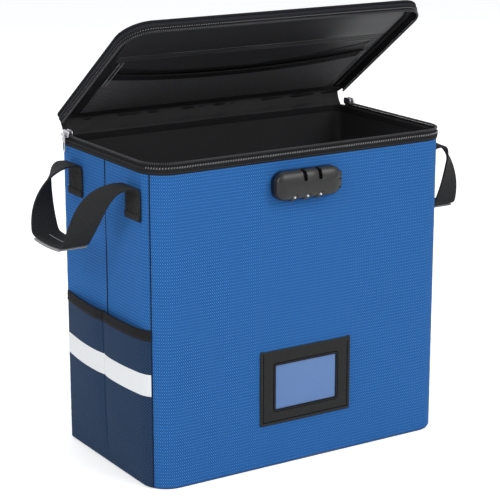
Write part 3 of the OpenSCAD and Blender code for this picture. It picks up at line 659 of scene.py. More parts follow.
def profile_rows(points, step):
    """A smooth row of stops (out, up, run) through a few points of a cross-section."""
    knots = np.array(points, float) * MM
    run = run_along(knots)
    even = np.linspace(0, run[-1], max(4, round(run[-1] / step)))
    out, up = (smoothed(np.interp(even, run, knots[:, k]), 2) for k in (0, 1))
    return np.c_[out, up, even]


def folded_tape(name, path, profile, wave, seed):
    """A tape swept round a closed plan path; its profile gives how far out and how high it runs."""
    out = profile[:, 0][:, None] + wave * sway(path[:-1, 4][None, :], profile[:, 2][:, None], seed, 0.05)
    grid = wall_grid(path[:-1], profile[:, 1], out)
    return cloth(name, grid, path[:, 4], profile[:, 2], binding_t, loop=True)


rim_mm = rim_z / MM
binding_profile = profile_rows([(0.15, rim_mm - 8), (0.75, rim_mm - 7.2), (0.55, rim_mm - 5.9),
    (1.15, rim_mm - 4.5), (1.2, rim_mm - 1.2), (0.9, rim_mm - 0.2), (-1, rim_mm), (-4.3, rim_mm),
    (-5.2, rim_mm - 0.5), (-5.45, rim_mm - 1.5), (-5.3, rim_mm - 7)], step=0.7 * MM)
rim_path = plan_path(*whole_outline, closed=True)
rim_binding = folded_tape("rim_binding", rim_path, binding_profile, 0.06 * MM, 5)
add_piece("rim_binding", rim_binding, binding_tape, "case", "binding_tape", "rim_binding")


# ---- Stitches ----
# Black thread, sewn by machine. Each stitch is a short pill of thread that lies just
# proud of the cloth; one tree sets any small unit out along a route at an even pitch.
def fine_grained_material(name, low, high, roughness=0.6):
    """Sewing thread, and the paint of painted glints and painted shade lines, with a very fine grain."""
    return speckled_material(name, low, high, scale=2500.0, depth=0.05 * MM, roughness=roughness)


thread = fine_grained_material("thread", (0.018, 0.018, 0.019), (0.07, 0.07, 0.072))

along_tree = bpy.data.node_groups.new("set_out_along_route", "GeometryNodeTree")
along_inputs = {
    label: along_tree.interface.new_socket(label, in_out="INPUT", socket_type=kind).identifier
    for label, kind in (("Geometry", "NodeSocketGeometry"), ("Unit", "NodeSocketObject"),
        ("Pitch", "NodeSocketFloat"), ("Material", "NodeSocketMaterial"))}
along_tree.interface.new_socket("Geometry", in_out="OUTPUT", socket_type="NodeSocketGeometry")
along_in = add_node(along_tree, "NodeGroupInput")
route_curve = add_node(along_tree, "GeometryNodeMeshToCurve", {"Mesh": along_in.outputs["Geometry"]})
even_curve = add_node(along_tree, "GeometryNodeResampleCurve", {
    "Curve": route_curve.outputs[0], "Length": along_in.outputs["Pitch"]}, mode="LENGTH")
route_up = add_node(along_tree, "GeometryNodeInputNamedAttribute", {"Name": "up"},
    data_type="FLOAT_VECTOR")
unit_turn = add_node(along_tree, "FunctionNodeAxesToRotation", {
    "Primary Axis": add_node(along_tree, "GeometryNodeInputTangent").outputs[0],
    "Secondary Axis": route_up.outputs[0]}, primary_axis="X", secondary_axis="Z")
unit_shape = add_node(along_tree, "GeometryNodeObjectInfo", {"Object": along_in.outputs["Unit"]})
set_out = add_node(along_tree, "GeometryNodeInstanceOnPoints", {
    "Points": even_curve.outputs[0], "Instance": unit_shape.outputs["Geometry"],
    "Rotation": unit_turn.outputs[0]})
made_real = add_node(along_tree, "GeometryNodeRealizeInstances", {"Geometry": set_out.outputs[0]})
painted = add_node(along_tree, "GeometryNodeSetMaterial", {
    "Geometry": made_real.outputs[0], "Material": along_in.outputs["Material"]})
add_node(along_tree, "NodeGroupOutput", {"Geometry": painted.outputs[0]})


def finished_mesh(name, carrier, *helpers):
    """The carrier's mesh with its modifiers applied; the carrier and the helpers go."""
    bpy.context.view_layer.update()
    shown = carrier.evaluated_get(bpy.context.evaluated_depsgraph_get())
    mesh = bpy.data.meshes.new_from_object(shown)
    for helper in (carrier, *helpers):
        bpy.data.objects.remove(helper)
    mesh.name = name
    return mesh


def set_along(name, routes, unit_mesh, pitch, material, body, slot, *nodes):
    """Sets a unit out along routes, each a list of points and of up directions."""
    points, edges, ups = [], [], []
    for route, up in routes:
        first = len(points)
        points += [tuple(p) for p in route]
        ups += [tuple(d) for d in np.broadcast_to(up, np.shape(route))]
        edges += [(i, i + 1) for i in range(first, len(points) - 1)]
    guide = bpy.data.meshes.new(name + "_route")
    guide.from_pydata(points, edges, [])
    guide.attributes.new("up", "FLOAT_VECTOR", "POINT").data.foreach_set("vector", np.array(ups).ravel())
    carrier = linked_object(name + "_route", guide)
    unit = linked_object(name + "_unit", unit_mesh)
    modifier = carrier.modifiers.new("along", "NODES")
    modifier.node_group = along_tree
    modifier[along_inputs["Unit"]] = unit
    modifier[along_inputs["Pitch"]] = pitch
    modifier[along_inputs["Material"]] = material
    return add_piece(name, finished_mesh(name, carrier, unit), None, body, slot, *nodes)


def pill(length, radius, sides=6):
    """A short round-ended rod along X."""
    points = [(-length / 2, 0, 0)]
    for x in (-0.36 * length, 0.36 * length):
        points += [(x, radius * math.cos(math.tau * k / sides), radius * math.sin(math.tau * k / sides))
            for k in range(sides)]
    points.append((length / 2, 0, 0))
    last = len(points) - 1
    faces = []
    for k in range(sides):
        m = (k + 1) % sides
        faces += [(0, 1 + m, 1 + k), (1 + k, 1 + m, 1 + sides + m, 1 + sides + k),
            (last, 1 + sides + k, 1 + sides + m)]
    return build_mesh("pill", points, faces, None, 80)


stitch_pitch, stitch_len, stitch_r = 3.2 * MM, 2.5 * MM, 0.26 * MM


def sew(name, routes, body, slot="binding_tape"):
    """A row of black stitches along each route."""
    return set_along(name, routes, pill(stitch_len, stitch_r), stitch_pitch, thread, body, slot)


def level_route(path, out, z, loop=False):
    """A route at one height along a plan path, and the way that faces out of the wall."""
    stops = np.r_[path, path[:1]] if loop else path
    route = np.c_[stops[:, :2] + stops[:, 2:4] * out, np.full(len(stops), z)]
    return route, np.c_[stops[:, 2:4], np.zeros(len(stops))]


sew("rim_stitches", [level_route(rim_path, 0.75 * MM, rim_z - 6.0 * MM, True),
    level_route(rim_path, 1.25 * MM, rim_z - 1.7 * MM, True)], "case")


# ---- Zip, body half ----
# A black nylon coil is woven onto a narrow tape. The tape is sewn inside the binding and
# runs from one back corner round the front to the other. Rows of small pale slanted ticks
# on the rim and on the lid are painted glints of the coil's teeth.
zip_ends = [((side * half_l, half_w - back_r, 0), 0, 0) for side in (-1, 1)]
zip_path = plan_path(zip_ends[0], (front_left_corner, 180, 270), (front_right_corner, 270, 360),
    zip_ends[1])
tape_inset, tape_t = 0.1 * MM, 0.8 * MM
coil_middle = 0.5 * MM
coil_w, coil_h = 2.6 * MM, 2.8 * MM
tooth_pitch, tooth_wire = 2.1 * MM, 0.42 * MM
zip_coil = speckled_material("zip_coil", (0.030, 0.030, 0.032), (0.085, 0.085, 0.09),
    scale=900.0, depth=0.05 * MM, roughness=0.32, gloss=0.5)


def tooth_mesh(width, height, wire, sides=4, bends=10):
    """One turn of the coil: an oval loop of nylon across the tape, leaning a little."""
    points, faces = [], []
    for k in range(bends):
        a = math.tau * k / bends
        ring_y, ring_z = math.cos(a), math.sin(a)
        lean = 0.45 * wire * math.sin(a)
        for m in range(sides):
            b = math.tau * m / sides + math.pi / 4
            reach = wire * math.cos(b)
            points.append((lean + wire * math.sin(b),
                ring_y * (width / 2 - wire + reach), ring_z * (height / 2 - wire + reach)))
            faces.append((k * sides + m, k * sides + (m + 1) % sides,
                (k + 1) % bends * sides + (m + 1) % sides, (k + 1) % bends * sides + m))
    return build_mesh("tooth", points, faces, None, 80)


def rod_mesh(name, centres, ups, across, high, sides=10, closed=False):
    """A rod along a list of points; across and high are its half sizes at each point."""
    centres = np.asarray(centres, float)
    count = len(centres)
    if closed:
        ahead = np.roll(centres, -1, axis=0) - np.roll(centres, 1, axis=0)
    else:
        ahead = np.gradient(centres, axis=0)
    ahead /= np.linalg.norm(ahead, axis=1, keepdims=True)
    up = np.broadcast_to(np.asarray(ups, float), centres.shape)
    side = np.cross(ahead, up)
    side /= np.linalg.norm(side, axis=1, keepdims=True)
    up = np.cross(side, ahead)
    across, high = np.broadcast_to(across, count)[:, None], np.broadcast_to(high, count)[:, None]
    run = run_along(centres)
    points = np.stack([centres + side * across * math.cos(a) + up * high * math.sin(a)
        for a in np.arange(sides) * math.tau / sides], axis=1).reshape(-1, 3)
    faces, uvs = [], []
    girth = math.tau * float(np.mean(across) + np.mean(high)) / 2 / sides
    for i in range(count if closed else count - 1):
        j = (i + 1) % count
        u, v = run[i], run[j] if j else run[i] + np.linalg.norm(centres[0] - centres[i])
        for m in range(sides):
            n = (m + 1) % sides
            faces.append((i * sides + m, j * sides + m, j * sides + n, i * sides + n))
            uvs += [(u, m * girth), (v, m * girth), (v, (m + 1) * girth), (u, (m + 1) * girth)]
    if not closed:
        for first, way in ((0, 1), ((count - 1) * sides, -1)):
            cap = tuple(first + m for m in range(sides))[::way]
            faces.append(cap)
            uvs += [(0.0, m * girth) for m in range(sides)]
    mesh = build_mesh(name, points, faces, uvs, 60)
    face_outwards(mesh)
    return mesh


def face_outwards(mesh):
    """Turns the faces of a closed mesh outwards."""
    work = bmesh.new()
    work.from_mesh(mesh)
    bmesh.ops.recalc_face_normals(work, faces=work.faces)
    work.to_mesh(mesh)
    work.free()


def zip_half(name, tape_low, tape_high, coil_z, body, shape, *nodes):
    """One half of the zip: its tape, its coil and the cord through the coil."""
    heights = np.linspace(tape_low, tape_high, 4)
    tape = cloth(name + "_tape", wall_grid(zip_path, heights, -tape_inset), zip_path[:, 4],
        heights, tape_t)
    route, up = level_route(zip_path, -coil_middle, coil_z)
    cord = rod_mesh(name + "_cord", shape(route), shape(up, True), coil_w / 2 - tooth_wire * 1.6,
        coil_h / 2 - tooth_wire * 1.6, sides=8)
    reshape(tape, shape)
    add_piece(name + "_tape", tape, binding_tape, body, "binding_tape", nodes[0])
    add_piece(name + "_cord", cord, binding_tape, body, "binding_tape")
    set_along(name + "_coil", [(shape(route), shape(np.broadcast_to((0, 0, 1), route.shape), True))],
        tooth_mesh(coil_w, coil_h, tooth_wire), tooth_pitch, zip_coil, body, "zip_coil", nodes[1])


def reshape(mesh, shape):
    """Moves every point of a mesh by a function of an array of points."""
    points = np.empty(len(mesh.vertices) * 3)
    mesh.vertices.foreach_get("co", points)
    mesh.vertices.foreach_set("co", np.asarray(shape(points.reshape(-1, 3))).ravel())
    mesh.update()


def as_drawn(points, direction=False):
    """Points or directions of the body, which stay as they are."""
    return np.asarray(points, float)


tape_low, tape_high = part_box("body_zip_tape")
coil_height = sum(corner.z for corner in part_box("body_zip_coil")) / 2
# Pale grey for the ticks on the rim and the lid, which are painted glints of the coil's teeth.
tick_thread = fine_grained_material("tick_thread", (0.32, 0.32, 0.33), (0.55, 0.55, 0.56))


def tick_mesh(length, radius, slant=0.6):
    """A short pill that lies across its route, with a slant: a stitch, or a painted glint."""
    made = pill(length, radius)
    reshape(made, lambda points: np.stack(
        [points[:, 0] * slant + points[:, 1], points[:, 0], points[:, 2]], axis=1))
    made.flip_normals()
    return made


rim_tick, rim_tick_pitch = tick_mesh(2.2 * MM, 0.3 * MM), 2.9 * MM
zip_half("body_zip", tape_low.z, tape_high.z, coil_height, "case", as_drawn, "body_zip_tape", "body_zip_coil")
front_run = plan_path((front_left_corner, 205, 270), (front_right_corner, 270, 330))
# Painted glints of the coil's teeth along the front of the rim.
set_along("rim_ticks", [level_route(front_run, 1.15 * MM, rim_z - 0.9 * MM)], rim_tick, rim_tick_pitch,
    tick_thread, "case", "zip_coil")


# ---- Lid shell ----
# The lid is a board between the blue cover and a black lining, with a low side band. It
# is drawn shut, as it is sewn, and then turned about its hinge. Piping runs round its
# upper edge, and a woven binding holds the zip's other half round its lower one.
lid_joint = next(j for j in frame["record"]["behaviour"]["joints"] if j["name"] == "lid_hinge")
hinge_y, hinge_z = lid_joint["pos_m"][1:]
lid_turn = math.radians(-lid_joint["range_deg"][0])
zip_middle = hinge_z
lid_band_low = 2 * zip_middle - rim_z
lid_band_h = 7.5 * MM
lid_top = lid_band_low + lid_band_h
board_t = 2.5 * MM
lid_lining_low = lid_top - board_t - lining_t


def opened(points, direction=False):
    """Points or directions of the shut lid, turned to where it stands open."""
    origin = np.zeros(3) if direction else np.array((0, hinge_y, hinge_z))
    x, y, z = np.moveaxis(np.asarray(points, float) - origin, -1, 0)
    cos, sin = math.cos(lid_turn), math.sin(lid_turn)
    return np.stack([x, y * cos + z * sin, z * cos - y * sin], axis=-1) + origin


def under_route(x, y, z):
    """A route below the shut lid, turned to where the lid stands, and its way down."""
    x, y, z = (np.broadcast_to(v, np.shape(x)).ravel() for v in (x, y, z))
    route = np.stack([x, y, z], axis=1)
    return opened(route), opened(np.broadcast_to((0, 0, -1.0), route.shape), True)


def lid_piece(name, mesh, material, slot, *nodes):
    """A piece of the lid, drawn shut and turned to where the lid stands open."""
    reshape(mesh, opened)
    return add_piece(name, mesh, material, "lid", slot, *nodes)


def cover_crown(share, plan):
    """The cover swells a little over its board and sinks into the seam at its edge."""
    from_edge = share * half_w
    return (-0.5 * MM * math.exp(-(from_edge / (2 * MM)) ** 2) + 0.9 * MM * min(1.0, from_edge / 0.05) ** 0.7
        + 0.25 * MM * sway(plan[:, 0], plan[:, 1], 41, length=0.13) * min(1.0, from_edge / 0.02))


lid_cover = flat_panel("lid_cover", 0.2 * MM, lid_top - 0.4 * MM, lid_top + skin_t - 0.3 * MM,
    cover_crown, rings=26)
lid_piece("lid_cover", lid_cover, blue_fabric, "blue_fabric", "lid_cover")

lid_loop = plan_path(*whole_outline, closed=True)
band_rows = rows_between(lid_band_low, lid_top + 0.2 * MM, step=1.2 * MM, fine=(0, 0.5))
lid_band = cloth("lid_side_band", wall_grid(lid_loop[:-1], band_rows, 0.0), lid_loop[:, 4],
    band_rows, skin_t, loop=True)
lid_piece("lid_side_band", lid_band, base_fabric, "base_fabric", "lid_side_band")

piping_r = 1.6 * MM
piping_route = level_route(lid_loop[:-1], 0.1 * MM, lid_top + skin_t - piping_r)
lid_piping = rod_mesh("lid_piping", *piping_route, piping_r, piping_r, sides=12, closed=True)
lid_piece("lid_piping", lid_piping, binding_tape, "binding_tape", "lid_piping")

band_mm = lid_band_low / MM
lid_binding_profile = profile_rows([(-2.6, band_mm + 4.6), (-2.7, band_mm + 1.2), (-2.2, band_mm + 0.1),
    (-1.0, band_mm - 0.25), (0.4, band_mm - 0.1), (1.15, band_mm + 0.7), (1.2, band_mm + 3.2),
    (0.6, band_mm + 4.2), (0.15, band_mm + 4.6)], step=0.6 * MM)
lid_binding = folded_tape("lid_binding", lid_loop, lid_binding_profile, 0.05 * MM, 6)
lid_piece("lid_binding", lid_binding, binding_tape, "binding_tape", "lid_binding")

zip_half("lid_zip", 2 * zip_middle - tape_high.z, lid_band_low, 2 * zip_middle - coil_height, "lid", opened,
    "lid_zip_tape", "lid_zip_coil")

lid_seam, lid_seam_up = level_route(lid_loop, 1.25 * MM, lid_band_low + 2.9 * MM, True)
sew("lid_binding_stitches", [(opened(lid_seam), opened(lid_seam_up, True))], "lid")
lid_tick, lid_tick_pitch = tick_mesh(1.5 * MM, 0.22 * MM), 2.7 * MM
lid_tick_route, _ = level_route(zip_path, 0.2 * MM, lid_band_low - 0.25 * MM)
# Painted glints of the teeth along the lid's half of the zip.
set_along("lid_ticks", [under_route(*lid_tick_route.T)], lid_tick, lid_tick_pitch, tick_thread, "lid",
    "zip_coil")


def lining_sag(share, plan):
    """The lid's lining hangs in shallow waves below its board."""
    from_edge = share * half_w
    return (0.4 * MM + 0.3 * MM * sway(plan[:, 0], plan[:, 1], 43, length=0.10)) * min(1.0, from_edge / 0.03)


lid_lining = flat_panel("lid_lining", skin_t + 0.1 * MM, -(lid_lining_low + lining_t),
    -lid_lining_low, lining_sag, rings=26)
reshape(lid_lining, lambda points: points * (1, 1, -1))
face_outwards(lid_lining)
lid_piece("lid_lining", lid_lining, lining_fabric, "lining_fabric", "lid_lining")


# ---- Inside of the lid ----
# A smooth padded strip is sewn round the front of the lining, inside a ridge of piping. A
# band in folds, sewn down with two rows, crosses the lid behind it. A slack flap and a net
# pocket hang from there, and an elastic draws in the pocket's mouth.
def under_lid(name, x, y, z, thick):
    """Cloth that faces down from the shut lid; its rows run from the back to the front."""
    x, y, z = np.broadcast_arrays(x, y, z)
    return cloth(name, np.stack([x, y, z], axis=2), x[0], -y[:, x.shape[1] // 2], thick)


def across_lid(half):
    """Places across the lid in one row, closer together beside its two ends."""
    near = np.array([0, 0.5, 1.2, 2.4]) * MM
    inner = np.linspace(-half + 4.5 * MM, half - 4.5 * MM, round(2 * half / (3 * MM)))
    return np.r_[-half + near, inner, half - near[::-1]][None, :]


panel_in, panel_back = 14 * MM, -36 * MM
strip_x = across_lid(half_l - panel_in)
past_corner = np.clip(np.abs(strip_x) - (half_l - front_r), 0, front_r - panel_in)
strip_front = -half_w + front_r - np.sqrt((front_r - panel_in) ** 2 - past_corner ** 2)
strip_share = np.r_[0, 0.01, 0.03, 0.06, np.linspace(0.1, 0.9, 13), 0.94, 0.97, 0.99, 1][:, None]
strip_y = panel_back + (strip_front - panel_back) * strip_share
from_side = np.clip((half_l - panel_in - np.abs(strip_x)) / (8 * MM), 0, 1)
puff = (1 - np.abs(2 * strip_share - 1) ** 5) * from_side ** 0.5
puckers = (0.25 * sway(strip_x, strip_y * 0.15, 44, length=0.02) * bump_at(strip_share, 0.25)
    + 0.3 * sway(strip_x, strip_y, 45, length=0.09)) * MM
smooth_lining = speckled_material("smooth_lining", (0.018, 0.018, 0.019), (0.040, 0.040, 0.043),
    scale=600.0, depth=0.06 * MM, roughness=0.42, gloss=0.3)
lid_front_panel = under_lid("lid_front_panel", strip_x, strip_y,
    lid_lining_low - 0.8 * MM - (1.0 * MM + puckers) * puff, 0.8 * MM)
lid_piece("lid_front_panel", lid_front_panel, smooth_lining, "lining_fabric", "lid_front_panel")

ridge_in, ridge_r = 11.0 * MM, 1.1 * MM
ridge_route, ridge_up = level_route(zip_path, -ridge_in, lid_lining_low - ridge_r * 0.7)
lid_ridge = rod_mesh("lid_ridge", ridge_route, ridge_up, ridge_r, ridge_r, sides=10)
lid_piece("lid_ridge", lid_ridge, binding_tape, "binding_tape")

band_y_back, band_y_front, band_half = -24 * MM, -36.5 * MM, 163 * MM
band_x = across_lid(band_half)
band_share = np.linspace(0, 1, 25)[:, None]
band_y = band_y_back + (band_y_front - band_y_back) * band_share
folds = np.abs(np.sin(3 * math.pi * band_share)) ** 0.6
band_z = lid_lining_low - (0.5 + folds * (0.9 + 0.3 * sway(band_x, band_share * 0.02, 46, 0.06))) * MM
lid_band_folds = under_lid("lid_stitched_band", band_x, band_y, band_z, 0.9 * MM)
lid_piece("lid_stitched_band", lid_band_folds, smooth_lining, "lining_fabric", "lid_stitched_band")


sew("lid_band_stitches", [under_route(band_x.ravel(), band_y_back + (band_y_front - band_y_back) * k / 3,
    lid_lining_low - 0.75 * MM) for k in (1, 2)], "lid", "lining_fabric")

hang_half = 158 * MM
hang_x = across_lid(hang_half)
hang_share = hang_x / (2 * hang_half) + 0.5
mouth_y = (-1 + 46 * hang_share * (1 - hang_share)) * MM
flap_y = (-14 - 9 * hang_share + 76 * hang_share * (1 - hang_share)) * MM
middle_hang = 1 - np.abs(2 * hang_share - 1) ** 3
knit_net = woven_material("knit_net", (0.016, 0.016, 0.017), (0.220, 0.220, 0.230), pitch=1.9 * MM,
    depth=0.5 * MM, turn=math.radians(45), roughness=0.7)

down = np.linspace(0, 1, 22)[:, None]
flap_rows = flap_y + (-25 * MM - flap_y) * down
flap_z = lid_lining_low - 1.1 * MM - middle_hang * (2.6 + 0.5 * sway(hang_x, down * 0.04, 48, 0.05)) \
    * (1 - down) ** 1.5 * MM
lid_flap = under_lid("lid_flap", hang_x, flap_rows, flap_z, 0.5 * MM)
lid_flap = lid_piece("lid_flap", lid_flap, smooth_lining, "lining_fabric")

net_back = 86 * MM
net_rows = net_back + (mouth_y - net_back) * down
net_share = 1 - down
gathers = 0.55 * np.sin(hang_x / (5.2 * MM) * math.tau + 2.2 * sway(hang_x, 0, 49, 0.06)) \
    * bump_at(net_share - 0.3, 0.16) * middle_hang
net_z = lid_lining_low - (1.0 + 3.5 * middle_hang * (1 - net_share) ** 2 + 0.4 * gathers
    + 0.3 * (1 + sway(hang_x, net_rows, 50, 0.08)) * np.sin(math.pi * down)) * MM
lid_net = under_lid("lid_net_pocket", hang_x, net_rows, net_z, 0.5 * MM)
lid_net = lid_piece("lid_net_pocket", lid_net, knit_net, "pocket_net", "lid_net_pocket")

elastic_share = np.linspace(0, 1, 9)[:, None]
elastic_rows = mouth_y + 12 * MM * (1 - elastic_share)
elastic_net = (net_back - elastic_rows) / (net_back - mouth_y)
elastic_z = lid_lining_low - (1.75 + 3.5 * middle_hang * elastic_net ** 2
    + 0.35 * np.sin(hang_x / (4.3 * MM) * math.tau) * np.sin(math.pi * elastic_share)) * MM
lid_elastic = under_lid("lid_net_elastic", hang_x, elastic_rows, elastic_z, 1.1 * MM)
lid_piece("lid_net_elastic", lid_elastic, binding_tape, "binding_tape", "lid_net_elastic")

hem_r = 0.75 * MM
for name, edge_y, edge_z in (("lid_flap_hem", flap_y, flap_z[0]), ("lid_mouth_hem", mouth_y, elastic_z[-1])):
    hem_route = np.stack([hang_x[0], edge_y[0], edge_z + 0.3 * MM], axis=1)
    hem = rod_mesh(name, hem_route, (0, 0, 1), hem_r, hem_r, sides=8)
    lid_piece(name, hem, binding_tape, "binding_tape")


def tack_routes(x, y_low, y_high, z):
    """Two short routes side by side, for a bartack that runs from front to back."""
    return [under_route(np.full(2, x + k * 4.2 * MM), np.array([y_low, y_high]), z) for k in (-0.5, 0.5)]


tack_thread = fine_grained_material("tack_thread", (0.08, 0.08, 0.082), (0.36, 0.36, 0.37))
bar_stitch, bar_pitch = tick_mesh(2.0 * MM, 0.25 * MM, slant=0), 1.6 * MM
tack_x = hang_half - 2 * MM
flap_tack_z, net_tack_z = lid_lining_low - 2.3 * MM, lid_lining_low - 3.0 * MM
tacks = (tack_routes(-tack_x, -26 * MM, 22 * MM, flap_tack_z)
    + tack_routes(tack_x, -26 * MM, -12 * MM, flap_tack_z)
    + tack_routes(tack_x, -2 * MM, 14 * MM, net_tack_z))
set_along("lid_bartacks", tacks, bar_stitch, bar_pitch, tack_thread, "lid", "lining_fabric")


# ---- Hinge fabric ----
# The lid is hinged by cloth alone: a strip of binding tape outside, sewn to both back
# edges, and a loose piece of lining inside that wrinkles as the lid moves.
hinge_reach = 176.5 * MM


def strip_across(name, section, half, thick, behind, wrinkle, seed):
    """Cloth across the back: its section is rows of y, z; behind says which way it faces."""
    x = np.linspace(-half, half, round(2 * half / (4 * MM)))
    section = np.array(section) * MM
    run = run_along(section)
    even = np.linspace(0, run[-1], max(8, round(run[-1] / (1.4 * MM))))
    y, z = (smoothed(np.interp(even, run, section[:, k]), 3) for k in (0, 1))
    fullness = np.sin(math.pi * even / run[-1])[:, None]
    past = np.clip(np.abs(x) - (half_l - back_r), 0, back_r * 0.96)
    round_corner = (back_r - np.sqrt(back_r ** 2 - past ** 2))[None, :]
    lift = wrinkle * fullness * sway(x[None, :], even[:, None] * 0.6, seed, 0.028)
    grid = np.stack([np.broadcast_to(x, lift.shape), y[:, None] - lift * 0.8 - round_corner,
        z[:, None] + lift * 0.6], axis=2)
    return cloth(name, grid[:, ::-1] if behind else grid, x, even, thick)


def lid_side_points(*points):
    """Points y, z in millimetres of the shut lid, where they are with the lid open."""
    shut = np.array([(0, y, z) for y, z in points]) * MM
    return [tuple(p[1:] / MM) for p in opened(shut)]


outer_section = [(101.6, 331), (101.95, 334), (102.1, 336.5), (102.4, 338.6)] \
    + lid_side_points((102.6, 342.8), (102.6, 346), (102.5, 349.2))
hinge_strip = strip_across("hinge_strip", outer_section, hinge_reach, 0.9 * MM, True, 0.15 * MM, 51)
hinge_strip = add_piece("hinge_strip", hinge_strip, binding_tape, None, "binding_tape",
    "hinge_tape", "lid_hinge_roll")
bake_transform(hinge_strip)

inner_section = [(95.6, 329), (95.2, 333.4), (96.4, 336.2), (98.6, 338.4), (100.0, 341.5)] \
    + lid_side_points((97.6, 347.4), (96.4, 349.1), (90, 349.1))
hinge_gusset = strip_across("hinge_gusset", inner_section, hinge_reach, 0.7 * MM, False,
    1.1 * MM, 52)
hinge_gusset = add_piece("hinge_gusset", hinge_gusset, lining_fabric, None, "lining_fabric")
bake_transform(hinge_gusset)


# ---- Side pocket ----
# A slip pocket of coarse navy cloth is sewn to the left side at its back edge, its foot
# and the front seam. It bellies out, and its mouth is bound with ribbed tape. A band of
# white reflective tape crosses it, and the side's fold line shows through it.
pocket_back, pocket_top = 88 * MM, 168 * MM
pocket_path = plan_path(((-half_l, pocket_back, 0), 0, 0), (front_left_corner, 180, 180 + seam_turn),
    folds=(pocket_back,))
pocket_run = pocket_path[-1, 4]
pocket_t, pocket_bulge = 1.2 * MM, 6 * MM
navy_fabric = woven_material("navy_fabric", (0.004, 0.014, 0.040), (0.038, 0.080, 0.165),
    pitch=1.5 * MM, depth=0.45 * MM, roughness=0.75, gloss=0.12)
reflective_tape = speckled_material("reflective_tape", (0.70, 0.71, 0.72), (0.84, 0.85, 0.86),
    scale=1800.0, depth=0.05 * MM, roughness=0.45)


def pocket_out(s, z):
    """How far the pocket's outer face stands out of the wall."""
    up = np.clip(z / pocket_top, 0, 1)
    swell = pocket_bulge * (1 - np.abs(2 * s / pocket_run - 1) ** 2.5) * (1 - (1 - up) ** 3)
    crease = (1.5 * bump_at(s - pocket_back, 0.9 * MM) + 1.6 * bump_at(s - pocket_back, 9 * MM)) * MM
    waves = 0.5 * MM * sway(s, z, 61, length=0.08) * (swell / pocket_bulge)
    seam = 0.5 * MM * bump_at(pocket_run - s, 1.2 * MM)
    return pocket_t + swell + waves - crease * np.clip(up * 3, 0, 1) - seam


def pocket_cloth(name, rows, thick, material, slot, *nodes):
    """Cloth that lies on the pocket; rows are pairs of height and distance off its face."""
    rows = np.array(rows) * MM
    s, z = pocket_path[:, 4][None, :], rows[:, 0][:, None]
    out = pocket_out(s, z) + rows[:, 1][:, None] - tucked_under(z)
    run = run_along(rows)
    mesh = cloth(name, wall_grid(pocket_path, rows[:, 0], out), pocket_path[:, 4], run, thick)
    return add_piece(name, mesh, material, "case", slot, *nodes)


pocket_rows = rows_between(hem_low, pocket_top - 1 * MM, fine=wall_edge_steps) / MM
side_pocket = pocket_cloth("side_pocket", [(z, 0) for z in pocket_rows], pocket_t, navy_fabric,
    "navy_fabric", "side_pocket")
mouth_rows = [(157, 0.05), (157.5, 0.5), (159, 0.62), (161.5, 0.62), (164, 0.62), (166.5, 0.62),
    (167.6, 0.55), (168.3, 0.1), (168.5, -0.6), (168.2, -1.3), (167.2, -1.75), (164, -1.8), (160, -1.8)]
pocket_binding = pocket_cloth("side_pocket_binding", mouth_rows, 0.6 * MM, binding_tape,
    "binding_tape", "side_pocket_binding")
strip_rows = [(99, 0.1), (99.5, 0.3), *((z, 0.34) for z in range(101, 121, 2)), (121.5, 0.3), (122, 0.1)]
pocket_cloth("reflective_strip", strip_rows, 0.3 * MM, reflective_tape, "reflective_tape",
    "reflective_strip")


def pocket_route(z, off):
    """A route along the pocket at a height and off its face, in millimetres."""
    s = pocket_path[:, 4]
    return level_route(pocket_path, (pocket_out(s, z * MM) + off * MM)[:, None], z * MM)


sew("pocket_stitches", [pocket_route(159.2, 0.72)], "case")


# ---- Label holder ----
# A frame of black vinyl, welded and sewn to the front on three sides and open at its top,
# holds a window of clear film. Its edges are rolled, and the window has a raised rim.
# Near-black strips round the window and in the groove along the three closed sides are painted shade.
def rounded_loop(low, high, r, inset=0.0, corner=6, side=1):
    """Points round a rectangle with rounded corners, anticlockwise from its lower right.

    Each corner has so many points, and each straight side so many parts."""
    (a_low, b_low), (a_high, b_high) = low, high
    r = max(r - inset, 0.05 * MM)
    left, right, foot, top = a_low + inset + r, a_high - inset - r, b_low + inset + r, b_high - inset - r
    arcs = []
    for a, b, start in ((right, foot, -90), (right, top, 0), (left, top, 90), (left, foot, 180)):
        turns = np.radians(start + np.linspace(0, 90, corner))
        arcs.append([(a + r * math.cos(t), b + r * math.sin(t)) for t in turns])
    points = []
    for arc, following in zip(arcs, arcs[1:] + arcs[:1]):
        here, there = np.array(arc[-1]), np.array(following[0])
        points += arc + [tuple(here + (there - here) * k / side) for k in range(1, side)]
    return np.array(points)


def looped_mesh(name, loops, place, closed, smooth_angle=35):
    """A solid from equal loops (a, b, out): joined back to the first, or capped at both ends."""
    count = len(loops[0][0])
    points, uvs = [], []
    for plan, out in loops:
        out = np.broadcast_to(out, count)
        points += [place(a, b, c) for (a, b), c in zip(plan, out)]
        uvs += [tuple(p) for p in plan]
    faces = []
    for ring in range(len(loops) if closed else len(loops) - 1):
        first, second = ring * count, (ring + 1) % len(loops) * count
        for k in range(count):
            m = (k + 1) % count
            faces.append((first + k, first + m, second + m, second + k))
    if not closed:
        faces += [tuple(range(count)), tuple(range((len(loops) - 1) * count, len(loops) * count))]
    mesh = build_mesh(name, points, faces, [uvs[i] for f in faces for i in f], smooth_angle)
    face_outwards(mesh)
    return mesh


def on_front(a, b, out):
    """A place on the front wall, so far to the right, up and out."""
    return a, -half_w - out, b


label_low, label_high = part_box("label_frame")
frame_low, frame_high = (label_low.x, label_low.z), (label_high.x, label_high.z)
window_low, window_high = (-38 * MM, 63 * MM), (37.5 * MM, 111 * MM)
label_vinyl = speckled_material("label_vinyl", (0.012, 0.012, 0.012), (0.030, 0.030, 0.030),
    scale=420.0, depth=0.12 * MM, roughness=0.6, gloss=0.12)
